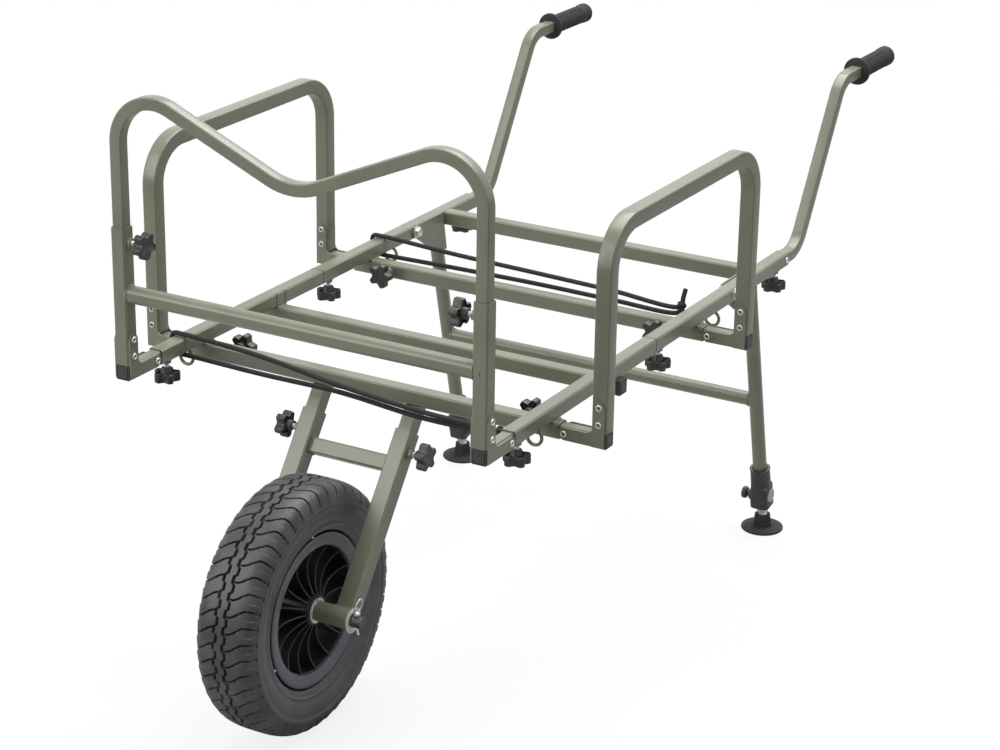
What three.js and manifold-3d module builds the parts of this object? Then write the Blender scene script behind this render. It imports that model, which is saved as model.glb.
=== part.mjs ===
// Fishing trolley: a one-wheel luggage barrow of square steel tube.
// Millimetres, +Z up. +X is the left side of whoever pushes it, -Y is the wheel end.
// Places along the frame are measured back from the front end of the side rails,
// and the whole barrow is then moved so that its origin lies under its middle.
import * as THREE from 'three';
import { mergeVertices } from 'three/addons/utils/BufferGeometryUtils.js';
import Module from 'manifold-3d';

const wasm = await Module();
wasm.setup();

// Clearances and how finely curves are stepped
const touch_gap = 0.3;
const cut_overrun = 2;
const weld_tolerance = 0.0001;
const corner_steps = 1;
const bend_steps = 4;
const plate_arc_steps = 2;
const round_sides = 12;
const small_round_sides = 8;

// Square tube: outer tubes take inner tubes with a sliding fit
const tube_size = 25;
const tube_wall = 2;
const tube_corner = 2.5;
const inner_tube_size = 20;
const inner_tube_corner = 2;
const inner_tube_wall = 1.5;

// Side rails, and the bars across them
const rail_spacing = 634;
const front_rail_length = 457;
const rear_rail_length = 519;
const spigot_front_length = 120;
const spigot_rear_length = 180;
const spigot_packing_length = 50;
const front_bar_place = 125;
const mid_bar_place = 329;
const rear_bar_inset = 357;
const handle_bar_inset = 110;
const side_bar_length = 680;

// Clamp screws: a nut welded on the tube, and a star knob on a stud
const nut_sides = 6;
const nut_width = 14;
const nut_height = 6;
const stud_radius = 4;
const knob_standoff = 14;
const knob_neck_radius = 10;
const knob_neck_height = 6.5;
const knob_radius = 21.5;
const knob_height = 16;
const knob_scallop_depth = 7.5;
const knob_edge = 2.5;
const knob_lobes = 5;
const knob_tip_share = 0.3;
const knob_scallop_shares = [0, 0.5, 1];

// Where the clamp screws sit
const rack_clamp_place = 26;
const frame_clamp_setback = 32;
const handle_clamp_inset = 33;
const side_clamp_spacing = 532;
const hoop_clamp_drop = 24;

// Wire rings under the rails
const ring_wire_radius = 2.5;
const ring_radius = 12.5;
const ring_sides = 10;
const ring_wire_sides = 5;
const front_ring_place = 80;
const rear_ring_inset = 284;

// Corner pieces: a plastic block, a stub of inner tube and two riveted side plates
const plate_thickness = 2.5;
const plate_arm_width = 20;
const plate_gusset = 10;
const plate_upper_rivet = 53;
const plate_side_rivet = 58;
const block_plug_length = 16;

// Front rack
const rack_reach = 73;
const post_rise = 233;
const rack_bar_rise = 127;
const rack_bar_diameter = 28;
const rack_bar_wall = 2;
const rack_stub_end_place = 170;

// Front hoop, an M of inner tube that slides in the posts
const hoop_shoulder_rise = 471;
const hoop_dip_rise = 335;
const hoop_shoulder_radius = 70;
const hoop_dip_radius = 110;
const hoop_insert_length = 120;

// Side hoops
const side_hoop_reach = 67;
const side_hoop_rise = 311;
const side_hoop_bend_radius = 68;
const side_stub_length = 265;

// Handles and grips
const handle_insert_length = 200;
const handle_reach = 56;
const handle_lean = 31 * Math.PI / 180;
const handle_lower_radius = 60;
const handle_upper_radius = 50;
const handle_rise = 273;
const grip_flange_gap = 45;
const grip_length = 146;
const grip_radius = 17.5;
const grip_end_radius = 18.5;
const grip_flange_radius = 25;
const grip_flange_thickness = 5;
const grip_cap_thickness = 4;
const grip_groove_width = 3;
const grip_groove_depth = 1.2;

// Wheel fork: stubs under the front bar carry sleeves that run down to the axle
const fork_lean = 36 * Math.PI / 180;
const fork_spacing = 170;
const fork_stub_length = 160;
const sleeve_size = 30;
const sleeve_drop = 46;
const fork_clamp_drop = 32;
const fork_brace_drop = 42;
const fork_brace_depth = 20;
const fork_tyre_gap = 35.02;
const axle_offset = 12;
const boss_radius = 16;
const boss_inner_end = 44;
const boss_outer_end = 103;

// Axle and its ring pins
const axle_radius = 10;
const axle_half_length = 123;
const washer_thickness = 2.5;
const washer_radius = 20;
const pin_radius = 2;
const pin_place = 112;
const pin_overhang = 8;
const pin_head_radius = 4;
const pin_head_height = 5;
const pin_ring_radius = 11;
const pin_wire_radius = 1.2;

// Wheel
const tyre_radius = 200;
const tyre_width = 104;
const tyre_wall = 7;
const tyre_crown_wall = 15;
const tyre_crown_drop = 1.75;
const tyre_steps = 32;
const sidewall_shares = [[0.33, 1], [0.62, 0.97]];
const shoulder_width_share = 0.83;
const crown_width_share = 0.5;
const cavity_crown_share = 0.45;
const cavity_depth_share = 0.4;
const rim_barrel_radius = 104;
const rim_flange_radius = 122;
const rim_width = 84;
const rim_wall = 4;
const hub_radius = 24;
const hub_width = 78;
const vane_count = 16;
const vane_thickness = 3;
const vane_hub_width = 72;
const vane_waist_width = 46;
const vane_rim_width = 74;
const vane_waist_share = 0.55;
const bead_gap = 0.5;

// Folding legs
const leg_pivot_inset = 219;
const leg_top_inset = 135;
const leg_lean = 13.4 * Math.PI / 180;
const leg_tube_radius = 12.5;
const leg_tube_wall = 1.5;
const leg_plate_thickness = 3;
const leg_plate_end_radius = 13;
const leg_plate_drop = 60;
const leg_brace_distance = 236;
const pivot_bolt_radius = 5;
const pivot_head_radius = 9;
const pivot_head_height = 6;

// Leg feet
const collar_bottom_height = 48;
const collar_length = 82;
const collar_radius = 19;
const collar_bore_gap = 0.3;
const foot_rod_radius = 10;
const foot_rod_insert = 260;
const ball_radius = 9;
const ball_height = 26;
const ball_neck_radius = 6.5;
const ball_gap = 0.7;
const socket_lip_height = 3;
const foot_radius = 38;
const foot_thickness = 7;
const foot_hub_radius = 18;
const foot_hub_top_radius = 15;
const socket_arc_shares = [0.25, 0.5, 0.75];
const thumb_radius = 11;
const thumb_length = 14;
const thumb_boss_length = 3;
const thumb_boss_depth = 8;

// Bungee cords
const cord_radius = 4;
const cord_sides = 8;
const knot_radius = 9;
const wrap_turn_shares = [0, 0.5, 1];
const front_cord_place = 66;
const rear_cord_setback = 39;
const cord_slack = 0.3;
// Cord routes: share of the knot's distance across, and of the tube's size back and up
const front_knot_shares = [1, -2, 0];
const front_upper_shares = [[0.508, -1.4, -0.18], [0, -0.92, 0.06], [-0.542, -0.46, 0.6]];
const front_lower_shares = [[-0.542, -0.3, -0.66], [0, -0.86, -0.4], [0.508, -1.36, -0.58]];
const front_tail_shares = [[0.986, -1.92, -0.24]];
const rear_end_shares = [[0.968, -0.3, 1.3], [0.962, -0.5, 0.66]];
const rear_knot_shares = [0.959, -0.68, 0.16];
const rear_upper_shares = [[0.508, -0.7, 0.32], [0, -0.56, 0.44], [-0.542, -0.4, 0.56]];
const rear_lower_shares = [[-0.542, -0.2, -0.52], [0, -0.3, -0.44], [0.508, -0.32, -0.5]];
const rear_tail_shares = [[0.92, -0.3, -0.5], [0.952, -0.4, -0.1]];

// Sizes that follow from the ones above
const axle_height = tyre_radius;
const fork_x = fork_spacing / 2;
const fork_length = sleeve_drop + fork_brace_drop + tube_size + fork_tyre_gap + tyre_radius;
const axle_drop = fork_length * Math.cos(fork_lean) - axle_offset * Math.sin(fork_lean);
const axle_setback = fork_length * Math.sin(fork_lean) + axle_offset * Math.cos(fork_lean);
const axle_place = front_bar_place - axle_setback;
const bar_bottom = axle_height + axle_drop;
const bar_centre_height = bar_bottom + tube_size / 2;
const rail_centre_height = bar_centre_height + tube_size;
const rail_x = rail_spacing / 2;
const rail_bottom = rail_centre_height - tube_size / 2;
const rail_top = rail_centre_height + tube_size / 2;
const post_top_height = rail_centre_height + post_rise;
const grip_height = rail_centre_height + handle_rise;
const rail_length = front_rail_length + rear_rail_length;
const rear_bar_place = rail_length - rear_bar_inset;
const handle_bar_place = rail_length - handle_bar_inset;
const rear_ring_place = rail_length - rear_ring_inset;
const leg_pivot_place = rail_length - leg_pivot_inset;
const leg_top_place = rail_length - leg_top_inset;
const rear_cord_place = rear_bar_place + rear_cord_setback;
const post_place = -rack_reach;
const side_hoop_x = side_bar_length / 2 + side_hoop_reach;
const block_half = tube_size / 2;
const handle_corner_place = rail_length + handle_reach;
const handle_upper_place = handle_corner_place + handle_rise * Math.tan(handle_lean);
const handle_bend_run = handle_upper_radius * Math.tan((Math.PI / 2 - handle_lean) / 2);
const grip_start_place = handle_upper_place + handle_bend_run + grip_flange_gap;
const grip_end_place = grip_start_place + grip_length;
const front_end = Math.min(axle_place - tyre_radius, post_place - block_half);
const middle_place = (front_end + grip_end_place) / 2;
const leg_foot_place = leg_top_place + (rail_bottom - ball_height) * Math.tan(leg_lean);

// Materials
const olive_paint = { color: 0x85857a, roughness: 0.45, metalness: 0.25 };
const black_plastic = { color: 0x2b2a2d, roughness: 0.55, metalness: 0 };
const black_rubber = { color: 0x242325, roughness: 0.8, metalness: 0 };
const bright_zinc = { color: 0xc6c8c4, roughness: 0.3, metalness: 0.9 };
const rim_plastic = { color: 0x3a393c, roughness: 0.5, metalness: 0 };
const cord_fabric = { color: 0x222124, roughness: 0.9, metalness: 0 };

const barrow = new THREE.Group();

// A closed mesh as a solid that can be joined and cut
function solidOf(geometry) {
    const bare = geometry.clone();
    bare.deleteAttribute('normal');
    bare.deleteAttribute('uv');
    const merged = mergeVertices(bare, weld_tolerance);
    return new wasm.Manifold(new wasm.Mesh({
        numProp: 3,
        vertProperties: new Float32Array(merged.attributes.position.array),
        triVerts: new Uint32Array(merged.index.array),
    }));
}

function geometryOf(solid) {
    const mesh = solid.getMesh();
    const geometry = new THREE.BufferGeometry();
    geometry.setAttribute('position', new THREE.BufferAttribute(mesh.vertProperties, mesh.numProp));
    geometry.setIndex(new THREE.BufferAttribute(mesh.triVerts, 1));
    geometry.computeVertexNormals();
    return geometry;
}

function addPiece(name, solid, look, parent = barrow) {
    const mesh = new THREE.Mesh(geometryOf(solid), new THREE.MeshStandardMaterial(look));
    mesh.name = name;
    parent.add(mesh);
    return mesh;
}

function joined(solids) {
    return solids.reduce((whole, next) => whole.add(next));
}

function box(width, depth, height, x, y, z) {
    return solidOf(new THREE.BoxGeometry(width, depth, height).translate(x, y, z));
}

function squareOutline(size) {
    const half = size / 2;
    const corners = [[half, half], [-half, half], [-half, -half], [half, -half]];
    return new THREE.Shape(corners.map(([right, up]) => new THREE.Vector2(right, up)));
}

// Square outline whose four corners are rounded in corner_steps facets each
function roundedSquare(size, corner) {
    const flat = size / 2 - corner;
    const points = [];
    for (const [right, up, quarter] of [[1, 1, 0], [-1, 1, 1], [-1, -1, 2], [1, -1, 3]]) {
        for (let step = 0; step <= corner_steps; step += 1) {
            const angle = (quarter + step / corner_steps) * Math.PI / 2;
            points.push(new THREE.Vector2(right * flat + corner * Math.cos(angle),
                up * flat + corner * Math.sin(angle)));
        }
    }
    return new THREE.Shape(points);
}

// Straight square tube, open at both ends, from start to end along the axis named
function squareTube(axis, start, end, size, wall, corner) {
    const bore = extrudedAlong(axis, start - cut_overrun, end + cut_overrun, squareOutline(size - 2 * wall));
    return geometryOf(solidOf(squareBar(axis, start, end, size, corner)).subtract(solidOf(bore)));
}

function squareBar(axis, start, end, size, corner) {
    return extrudedAlong(axis, start, end, roundedSquare(size, corner));
}

function extrudedAlong(axis, start, end, shape) {
    const geometry = new THREE.ExtrudeGeometry(shape, { depth: end - start, bevelEnabled: false });
    geometry.translate(0, 0, start);
    if (axis === 'x') geometry.rotateY(Math.PI / 2);
    if (axis === 'y') geometry.rotateX(-Math.PI / 2);
    return geometry;
}

function rod(axis, start, end, radius, sides = round_sides) {
    const geometry = new THREE.CylinderGeometry(radius, radius, end - start, sides);
    geometry.translate(0, (start + end) / 2, 0);
    if (axis === 'x') geometry.rotateZ(-Math.PI / 2);
    if (axis === 'z') geometry.rotateX(Math.PI / 2);
    return geometry;
}

// Radius of a faceted bore whose flats clear a round pin
function boreRadius(pin, sides = small_round_sides) {
    return (pin + touch_gap) / Math.cos(Math.PI / sides);
}

function turned(profile, sides = round_sides) {
    const points = profile.map(([radius, height]) => new THREE.Vector2(radius, height));
    return new THREE.LatheGeometry(points, sides).rotateX(Math.PI / 2);
}

// Path that an extrusion follows through chosen stations, each a point and a tangent
class StationPath extends THREE.Curve {
    constructor(stations) {
        super();
        this.stations = stations;
        this.steps = stations.length - 1;
    }

    getSpacedPoints() {
        return this.stations.map((station) => station.point.clone());
    }

    getTangentAt(share, target = new THREE.Vector3()) {
        return target.copy(this.stations[Math.round(share * this.steps)].tangent);
    }
}

// Stations through corner points with rounded bends, stepped only where it bends
function bentStations(corners, radii) {
    const stations = [];
    const last = corners.length - 1;
    const heading = (index) => corners[index + 1].clone().sub(corners[index]).normalize();
    stations.push({ point: corners[0], tangent: heading(0) });
    for (let index = 1; index < last; index += 1) {
        const before = heading(index - 1);
        const turn = before.angleTo(heading(index));
        const radius = radii[index - 1];
        const start = corners[index].clone().addScaledVector(before, -radius * Math.tan(turn / 2));
        const axis = before.clone().cross(heading(index)).normalize();
        const inward = axis.clone().cross(before).multiplyScalar(radius);
        for (let step = 0; step <= bend_steps; step += 1) {
            const angle = turn * step / bend_steps;
            const spoke = inward.clone().negate().applyAxisAngle(axis, angle);
            stations.push({
                point: start.clone().add(inward).add(spoke),
                tangent: before.clone().applyAxisAngle(axis, angle),
            });
        }
    }
    stations.push({ point: corners[last], tangent: heading(last - 1) });
    return stations;
}

function bentBar(corners, radii, shape) {
    const path = new StationPath(bentStations(corners, radii));
    return new THREE.ExtrudeGeometry(shape, { steps: path.steps, extrudePath: path });
}

// Square tube bent through corner points, open at both ends
function bentTube(corners, radii, size, wall, corner) {
    const last = corners.length - 1;
    const past_end = (end, inner) => end.clone().sub(inner).setLength(cut_overrun).add(end);
    const longer = corners.map((point, index) => {
        if (index === 0) return past_end(point, corners[1]);
        return index === last ? past_end(point, corners[last - 1]) : point;
    });
    const bore = bentBar(longer, radii, squareOutline(size - 2 * wall));
    return solidOf(bentBar(corners, radii, roundedSquare(size, corner))).subtract(solidOf(bore));
}

// Turns geometry made along +Z so that it points along a direction from a place
function aimed(geometry, place, direction) {
    const turn = new THREE.Quaternion().setFromUnitVectors(new THREE.Vector3(0, 0, 1), direction);
    return geometry.clone().applyQuaternion(turn).translate(place.x, place.y, place.z);
}

const toward = {
    left: new THREE.Vector3(1, 0, 0),
    right: new THREE.Vector3(-1, 0, 0),
    back: new THREE.Vector3(0, 1, 0),
    front: new THREE.Vector3(0, -1, 0),
    down: new THREE.Vector3(0, 0, -1),
};

// Welded nut on a tube's face, and the hole for the stud through nut and wall
function withClampNut(tube, place, direction, wall) {
    const nut = turned([[0, -wall / 2], [nut_width / 2, -wall / 2], [nut_width / 2, nut_height],
        [0, nut_height]], nut_sides);
    const bore = rod('z', -wall - cut_overrun, nut_height + cut_overrun,
        boreRadius(stud_radius), small_round_sides);
    return tube.add(solidOf(aimed(nut, place, direction))).subtract(solidOf(aimed(bore, place, direction)));
}

// Star outline: each lobe has a flat tip, and a scallop leads to the next
function starShape(inset) {
    const points = [];
    const lobe_angle = Math.PI * 2 / knob_lobes;
    for (let lobe = 0; lobe < knob_lobes; lobe += 1) {
        for (const share of knob_scallop_shares) {
            const turn = lobe + knob_tip_share / 2 + (1 - knob_tip_share) * share;
            const angle = turn * lobe_angle;
            const radius = knob_radius - inset - knob_scallop_depth * Math.sin(Math.PI * share);
            points.push(new THREE.Vector2(radius * Math.cos(angle), radius * Math.sin(angle)));
        }
    }
    return new THREE.Shape(points);
}

// Star knob and its stud, with the tube's face at z = 0
function starKnob() {
    const body_start = knob_standoff + knob_neck_height;
    const body = new THREE.ExtrudeGeometry(starShape(knob_edge), {
        depth: knob_height, bevelEnabled: true, bevelThickness: knob_edge,
        bevelSize: knob_edge, bevelSegments: 1, steps: 1,
    }).translate(0, 0, body_start - knob_edge);
    const stem = turned([[0, touch_gap - tube_wall], [stud_radius, touch_gap - tube_wall],
        [stud_radius, knob_standoff], [knob_neck_radius, knob_standoff],
        [knob_neck_radius, body_start + knob_edge], [0, body_start + knob_edge]], small_round_sides);
    return solidOf(body).trimByPlane([0, 0, 1], body_start).add(solidOf(stem));
}

const star_knob = starKnob();

function addKnob(name, place, direction, parent = barrow) {
    const knob = addPiece(name, star_knob, black_plastic, parent);
    knob.quaternion.setFromUnitVectors(new THREE.Vector3(0, 0, 1), direction);
    knob.position.copy(place);
}

// Wire ring welded under a rail, for cords
function wireRing(x, place) {
    const ring = new THREE.TorusGeometry(ring_radius, ring_wire_radius, ring_wire_sides, ring_sides);
    const drop = rail_bottom - ring_radius - ring_wire_radius / 2;
    return solidOf(ring.rotateX(Math.PI / 2).translate(x, place, drop));
}

// Side rails in two sections, joined by a spigot fixed in the front section
function addRails(name, side) {
    const x = side * rail_x;
    const under = (place) => new THREE.Vector3(x, place, rail_bottom);
    const front = squareTube('y', 0, front_rail_length, tube_size, tube_wall, tube_corner)
        .translate(x, 0, rail_centre_height);
    const spigot_start = front_rail_length - spigot_front_length;
    const spigot_end = front_rail_length + spigot_rear_length;
    const spigot = squareTube('y', spigot_start, spigot_end, inner_tube_size, inner_tube_wall,
        inner_tube_corner).translate(x, 0, rail_centre_height);
    const packing_size = tube_size - tube_wall;
    const packing_wall = (packing_size - inner_tube_size + inner_tube_wall) / 2;
    const packing_end = front_rail_length - tube_wall;
    const packing = squareTube('y', packing_end - spigot_packing_length, packing_end, packing_size,
        packing_wall, inner_tube_corner).translate(x, 0, rail_centre_height);
    let front_rail = joined([solidOf(front), solidOf(spigot), solidOf(packing)]);
    front_rail = withClampNut(front_rail, under(rack_clamp_place), toward.down, tube_wall);
    addPiece(`${name}_front_rail`, front_rail.add(wireRing(x, front_ring_place)), olive_paint);

    const rear = squareTube('y', front_rail_length, rail_length, tube_size, tube_wall, tube_corner)
        .translate(x, 0, rail_centre_height);
    let rear_rail = solidOf(rear);
    for (const place of [front_rail_length + frame_clamp_setback, rail_length - handle_clamp_inset]) {
        rear_rail = withClampNut(rear_rail, under(place), toward.down, tube_wall);
    }
    const bolt_hole = rod('x', -tube_size, tube_size, boreRadius(pivot_bolt_radius), small_round_sides)
        .translate(x, leg_pivot_place, rail_centre_height);
    rear_rail = rear_rail.add(wireRing(x, rear_ring_place)).subtract(solidOf(bolt_hole));
    addPiece(`${name}_rear_rail`, rear_rail, olive_paint);
    addPiece(`${name}_pivot_bolt`, pivotBolt(side), bright_zinc);

    addKnob(`${name}_rack_knob`, under(rack_clamp_place), toward.down);
    addKnob(`${name}_frame_knob`, under(front_rail_length + frame_clamp_setback), toward.down);
    addKnob(`${name}_handle_knob`, under(rail_length - handle_clamp_inset), toward.down);
}

// Bolt through the rail that the leg plate hangs on: head inside, nut outside
function pivotBolt(side) {
    const head_start = tube_size / 2 + leg_plate_thickness + 2 * touch_gap;
    const nut_start = tube_size / 2 + touch_gap;
    const shank = rod('x', -nut_start, head_start, pivot_bolt_radius, small_round_sides);
    const head = rod('x', head_start, head_start + pivot_head_height, pivot_head_radius, small_round_sides);
    const nut = rod('x', -nut_start - pivot_head_height, -nut_start, pivot_head_radius, nut_sides);
    const inward = side > 0 ? Math.PI : 0;
    return joined([shank, head, nut].map((piece) => solidOf(
        piece.rotateZ(inward).translate(side * rail_x, leg_pivot_place, rail_centre_height))));
}

function crossBar(place, height, half_length) {
    return solidOf(squareTube('x', -half_length, half_length, tube_size, tube_wall, tube_corner)
        .translate(0, place, height));
}

// Bars across the rails; the ends of the front and rear bars take the side hoops
function addCrossBars() {
    let front_bar = crossBar(front_bar_place, bar_centre_height, side_bar_length / 2);
    let rear_bar = crossBar(rear_bar_place, bar_centre_height, side_bar_length / 2);
    for (const side of [-1, 1]) {
        const x = side * side_clamp_spacing / 2;
        const front_face = new THREE.Vector3(x, front_bar_place + tube_size / 2, bar_centre_height);
        const rear_face = new THREE.Vector3(x, rear_bar_place - tube_size / 2, bar_centre_height);
        const name = side > 0 ? 'left' : 'right';
        front_bar = withClampNut(front_bar, front_face, toward.back, tube_wall);
        rear_bar = withClampNut(rear_bar, rear_face, toward.front, tube_wall);
        addKnob(`${name}_front_side_knob`, front_face, toward.back);
        addKnob(`${name}_rear_side_knob`, rear_face, toward.front);
        front_bar = front_bar.add(forkStub(side));
    }
    addPiece('front_crossbar', front_bar, olive_paint);
    addPiece('rear_crossbar', rear_bar, olive_paint);
    const outer_face = rail_x + tube_size / 2;
    const inner_face = rail_x - tube_size / 2;
    addPiece('mid_crossbar', crossBar(mid_bar_place, bar_centre_height, outer_face), olive_paint);
    addPiece('handle_crossbar', crossBar(handle_bar_place, rail_centre_height, inner_face), olive_paint);
}

// Stub welded under the front bar, cut to the bar's lower face
function forkStub(side) {
    const rise = tube_size * Math.tan(fork_lean);
    const stub = squareTube('z', -fork_stub_length, rise, tube_size, tube_wall, tube_corner)
        .rotateX(-fork_lean).translate(side * fork_x, front_bar_place, bar_bottom);
    const above = box(side_bar_length, side_bar_length, side_bar_length,
        0, front_bar_place, bar_bottom + tube_wall / 2 + side_bar_length / 2);
    return solidOf(stub).subtract(above);
}

// L plate outline: u runs along the stub, v up the post or leg
function platePoints() {
    const half = plate_arm_width / 2;
    const shape = new THREE.Shape();
    shape.moveTo(-half, -half);
    shape.lineTo(plate_side_rivet, -half);
    shape.absarc(plate_side_rivet, 0, half, -Math.PI / 2, Math.PI / 2);
    shape.lineTo(half + plate_gusset, half);
    shape.absarc(half + plate_gusset, half + plate_gusset, plate_gusset, -Math.PI / 2, -Math.PI, true);
    shape.lineTo(half, plate_upper_rivet);
    shape.absarc(0, plate_upper_rivet, half, 0, Math.PI);
    shape.lineTo(-half, -half);
    return shape;
}

// Stub and two side plates of a corner, with the stub along +X and the post along +Z
function cornerBracket(stub_end) {
    const stub = squareTube('x', block_half + touch_gap, stub_end, inner_tube_size, inner_tube_wall,
        inner_tube_corner);
    const solids = [solidOf(stub)];
    for (const face of [-1, 1]) {
        const plate = new THREE.ExtrudeGeometry(platePoints(), {
            depth: plate_thickness, bevelEnabled: false, curveSegments: plate_arc_steps,
        }).rotateX(Math.PI / 2).translate(0, face * (block_half + plate_thickness / 2), 0);
        solids.push(solidOf(plate.translate(0, plate_thickness / 2, 0)));
        const packing = block_half - inner_tube_size / 2 + plate_thickness;
        solids.push(box(plate_arm_width / 2, packing, inner_tube_size / 2, plate_side_rivet,
            face * (block_half + plate_thickness / 2 - packing / 2), 0));
    }
    return solids;
}

// Plastic corner block with a plug that fits the post or leg above it
function cornerBlock() {
    const plug_size = tube_size - 2 * tube_wall - 2 * touch_gap;
    const block = squareBar('z', -block_half, block_half - touch_gap, tube_size, tube_corner);
    const plug = extrudedAlong('z', 0, block_half + block_plug_length, squareOutline(plug_size));
    return solidOf(block).add(solidOf(plug));
}

// Front rack: two posts and a round bar, each post on a corner piece in its rail
function addFrontRack() {
    const rack_bar_height = rail_centre_height + rack_bar_rise;
    const solids = [solidOf(rod('x', -rail_x, rail_x, rack_bar_diameter / 2)
        .translate(0, post_place, rack_bar_height))];
    const bar_bore = rod('x', -rail_x, rail_x, rack_bar_diameter / 2 - rack_bar_wall, small_round_sides)
        .translate(0, post_place, rack_bar_height);
    for (const side of [-1, 1]) {
        const post_start = rail_top;
        const bore = extrudedAlong('z', post_start - cut_overrun, post_top_height + cut_overrun,
            squareOutline(tube_size - 2 * tube_wall)).translate(side * rail_x, post_place, 0);
        const post = squareBar('z', post_start, post_top_height, tube_size, tube_corner)
            .translate(side * rail_x, post_place, 0);
        solids[0] = solids[0].add(solidOf(post)).subtract(solidOf(bore)).subtract(solidOf(bar_bore));
        const face = new THREE.Vector3(side * (rail_x - tube_size / 2), post_place,
            post_top_height - hoop_clamp_drop);
        const inward = side > 0 ? toward.right : toward.left;
        solids[0] = withClampNut(solids[0], face, inward, tube_wall);
        const name = side > 0 ? 'left' : 'right';
        addKnob(`${name}_hoop_knob`, face, inward);
        for (const piece of cornerBracket(rack_reach + rack_stub_end_place)) {
            solids.push(piece.rotate([0, 0, 90]).translate([side * rail_x, post_place, rail_centre_height]));
        }
        const block = addPiece(`${name}_rack_block`, cornerBlock(), black_plastic);
        block.position.set(side * rail_x, post_place, rail_centre_height);
    }
    addPiece('rack_frame', joined(solids), olive_paint);
}

function addFrontHoop() {
    const start = post_top_height - hoop_insert_length;
    const shoulder = rail_centre_height + hoop_shoulder_rise;
    const dip = rail_centre_height + hoop_dip_rise;
    const corners = [[-rail_x, start], [-rail_x, shoulder], [0, dip], [rail_x, shoulder], [rail_x, start]]
        .map(([x, z]) => new THREE.Vector3(x, post_place, z));
    const radii = [hoop_shoulder_radius, hoop_dip_radius, hoop_shoulder_radius];
    const hoop = bentTube(corners, radii, inner_tube_size, inner_tube_wall, inner_tube_corner);
    addPiece('front_hoop', hoop, olive_paint);
}

// Side hoop: an upside-down U whose legs end in corner pieces in the crossbars
function addSideHoop(name, side) {
    const x = side * side_hoop_x;
    const start = bar_centre_height + block_half;
    const top = rail_centre_height + side_hoop_rise - tube_size / 2;
    const corners = [[front_bar_place, start], [front_bar_place, top], [rear_bar_place, top],
        [rear_bar_place, start]].map(([y, z]) => new THREE.Vector3(x, y, z));
    const radii = [side_hoop_bend_radius, side_hoop_bend_radius];
    const hoop = bentTube(corners, radii, tube_size, tube_wall, tube_corner);
    for (const [end, place] of [['front', front_bar_place], ['rear', rear_bar_place]]) {
        const block = addPiece(`${name}_${end}_side_block`, cornerBlock(), black_plastic);
        block.position.set(x, place, bar_centre_height);
        const bracket = joined(cornerBracket(block_half + side_stub_length));
        const piece = addPiece(`${name}_${end}_side_bracket`, bracket, olive_paint);
        piece.position.set(x, place, bar_centre_height);
        piece.rotation.z = side > 0 ? Math.PI : 0;
    }
    addPiece(`${name}_side_hoop`, hoop, olive_paint);
}

// Handle tube: out of the rail, up at a lean, then level for the grip
function addHandle(name, side) {
    const x = side * rail_x;
    const corners = [[rail_length - handle_insert_length, rail_centre_height],
        [handle_corner_place, rail_centre_height], [handle_upper_place, grip_height],
        [grip_end_place - grip_cap_thickness - touch_gap, grip_height]]
        .map(([y, z]) => new THREE.Vector3(x, y, z));
    const radii = [handle_lower_radius, handle_upper_radius];
    const tube = bentTube(corners, radii, inner_tube_size, inner_tube_wall, inner_tube_corner);
    addPiece(`${name}_handle_tube`, tube, olive_paint);

    const profile = [[0, grip_start_place], [grip_flange_radius, grip_start_place],
        [grip_flange_radius, grip_start_place + grip_flange_thickness],
        [grip_radius, grip_start_place + 2 * grip_flange_thickness]];
    const collar_start = grip_end_place - grip_end_radius;
    const dome_start = grip_end_place - grip_cap_thickness;
    profile.push([grip_radius, collar_start - grip_groove_width],
        [grip_radius - grip_groove_depth, collar_start - grip_groove_width / 2],
        [grip_end_radius, collar_start], [grip_end_radius, dome_start],
        [grip_end_radius - grip_cap_thickness / 2, grip_end_place], [0, grip_end_place]);
    const sleeve = turned(profile).rotateX(-Math.PI / 2);
    const bore = extrudedAlong('y', grip_start_place - cut_overrun, grip_end_place - grip_cap_thickness,
        squareOutline(inner_tube_size + 2 * touch_gap));
    const grip = solidOf(sleeve).subtract(solidOf(bore));
    const piece = addPiece(`${name}_grip`, grip, black_rubber);
    piece.position.set(x, 0, grip_height);
}

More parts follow.
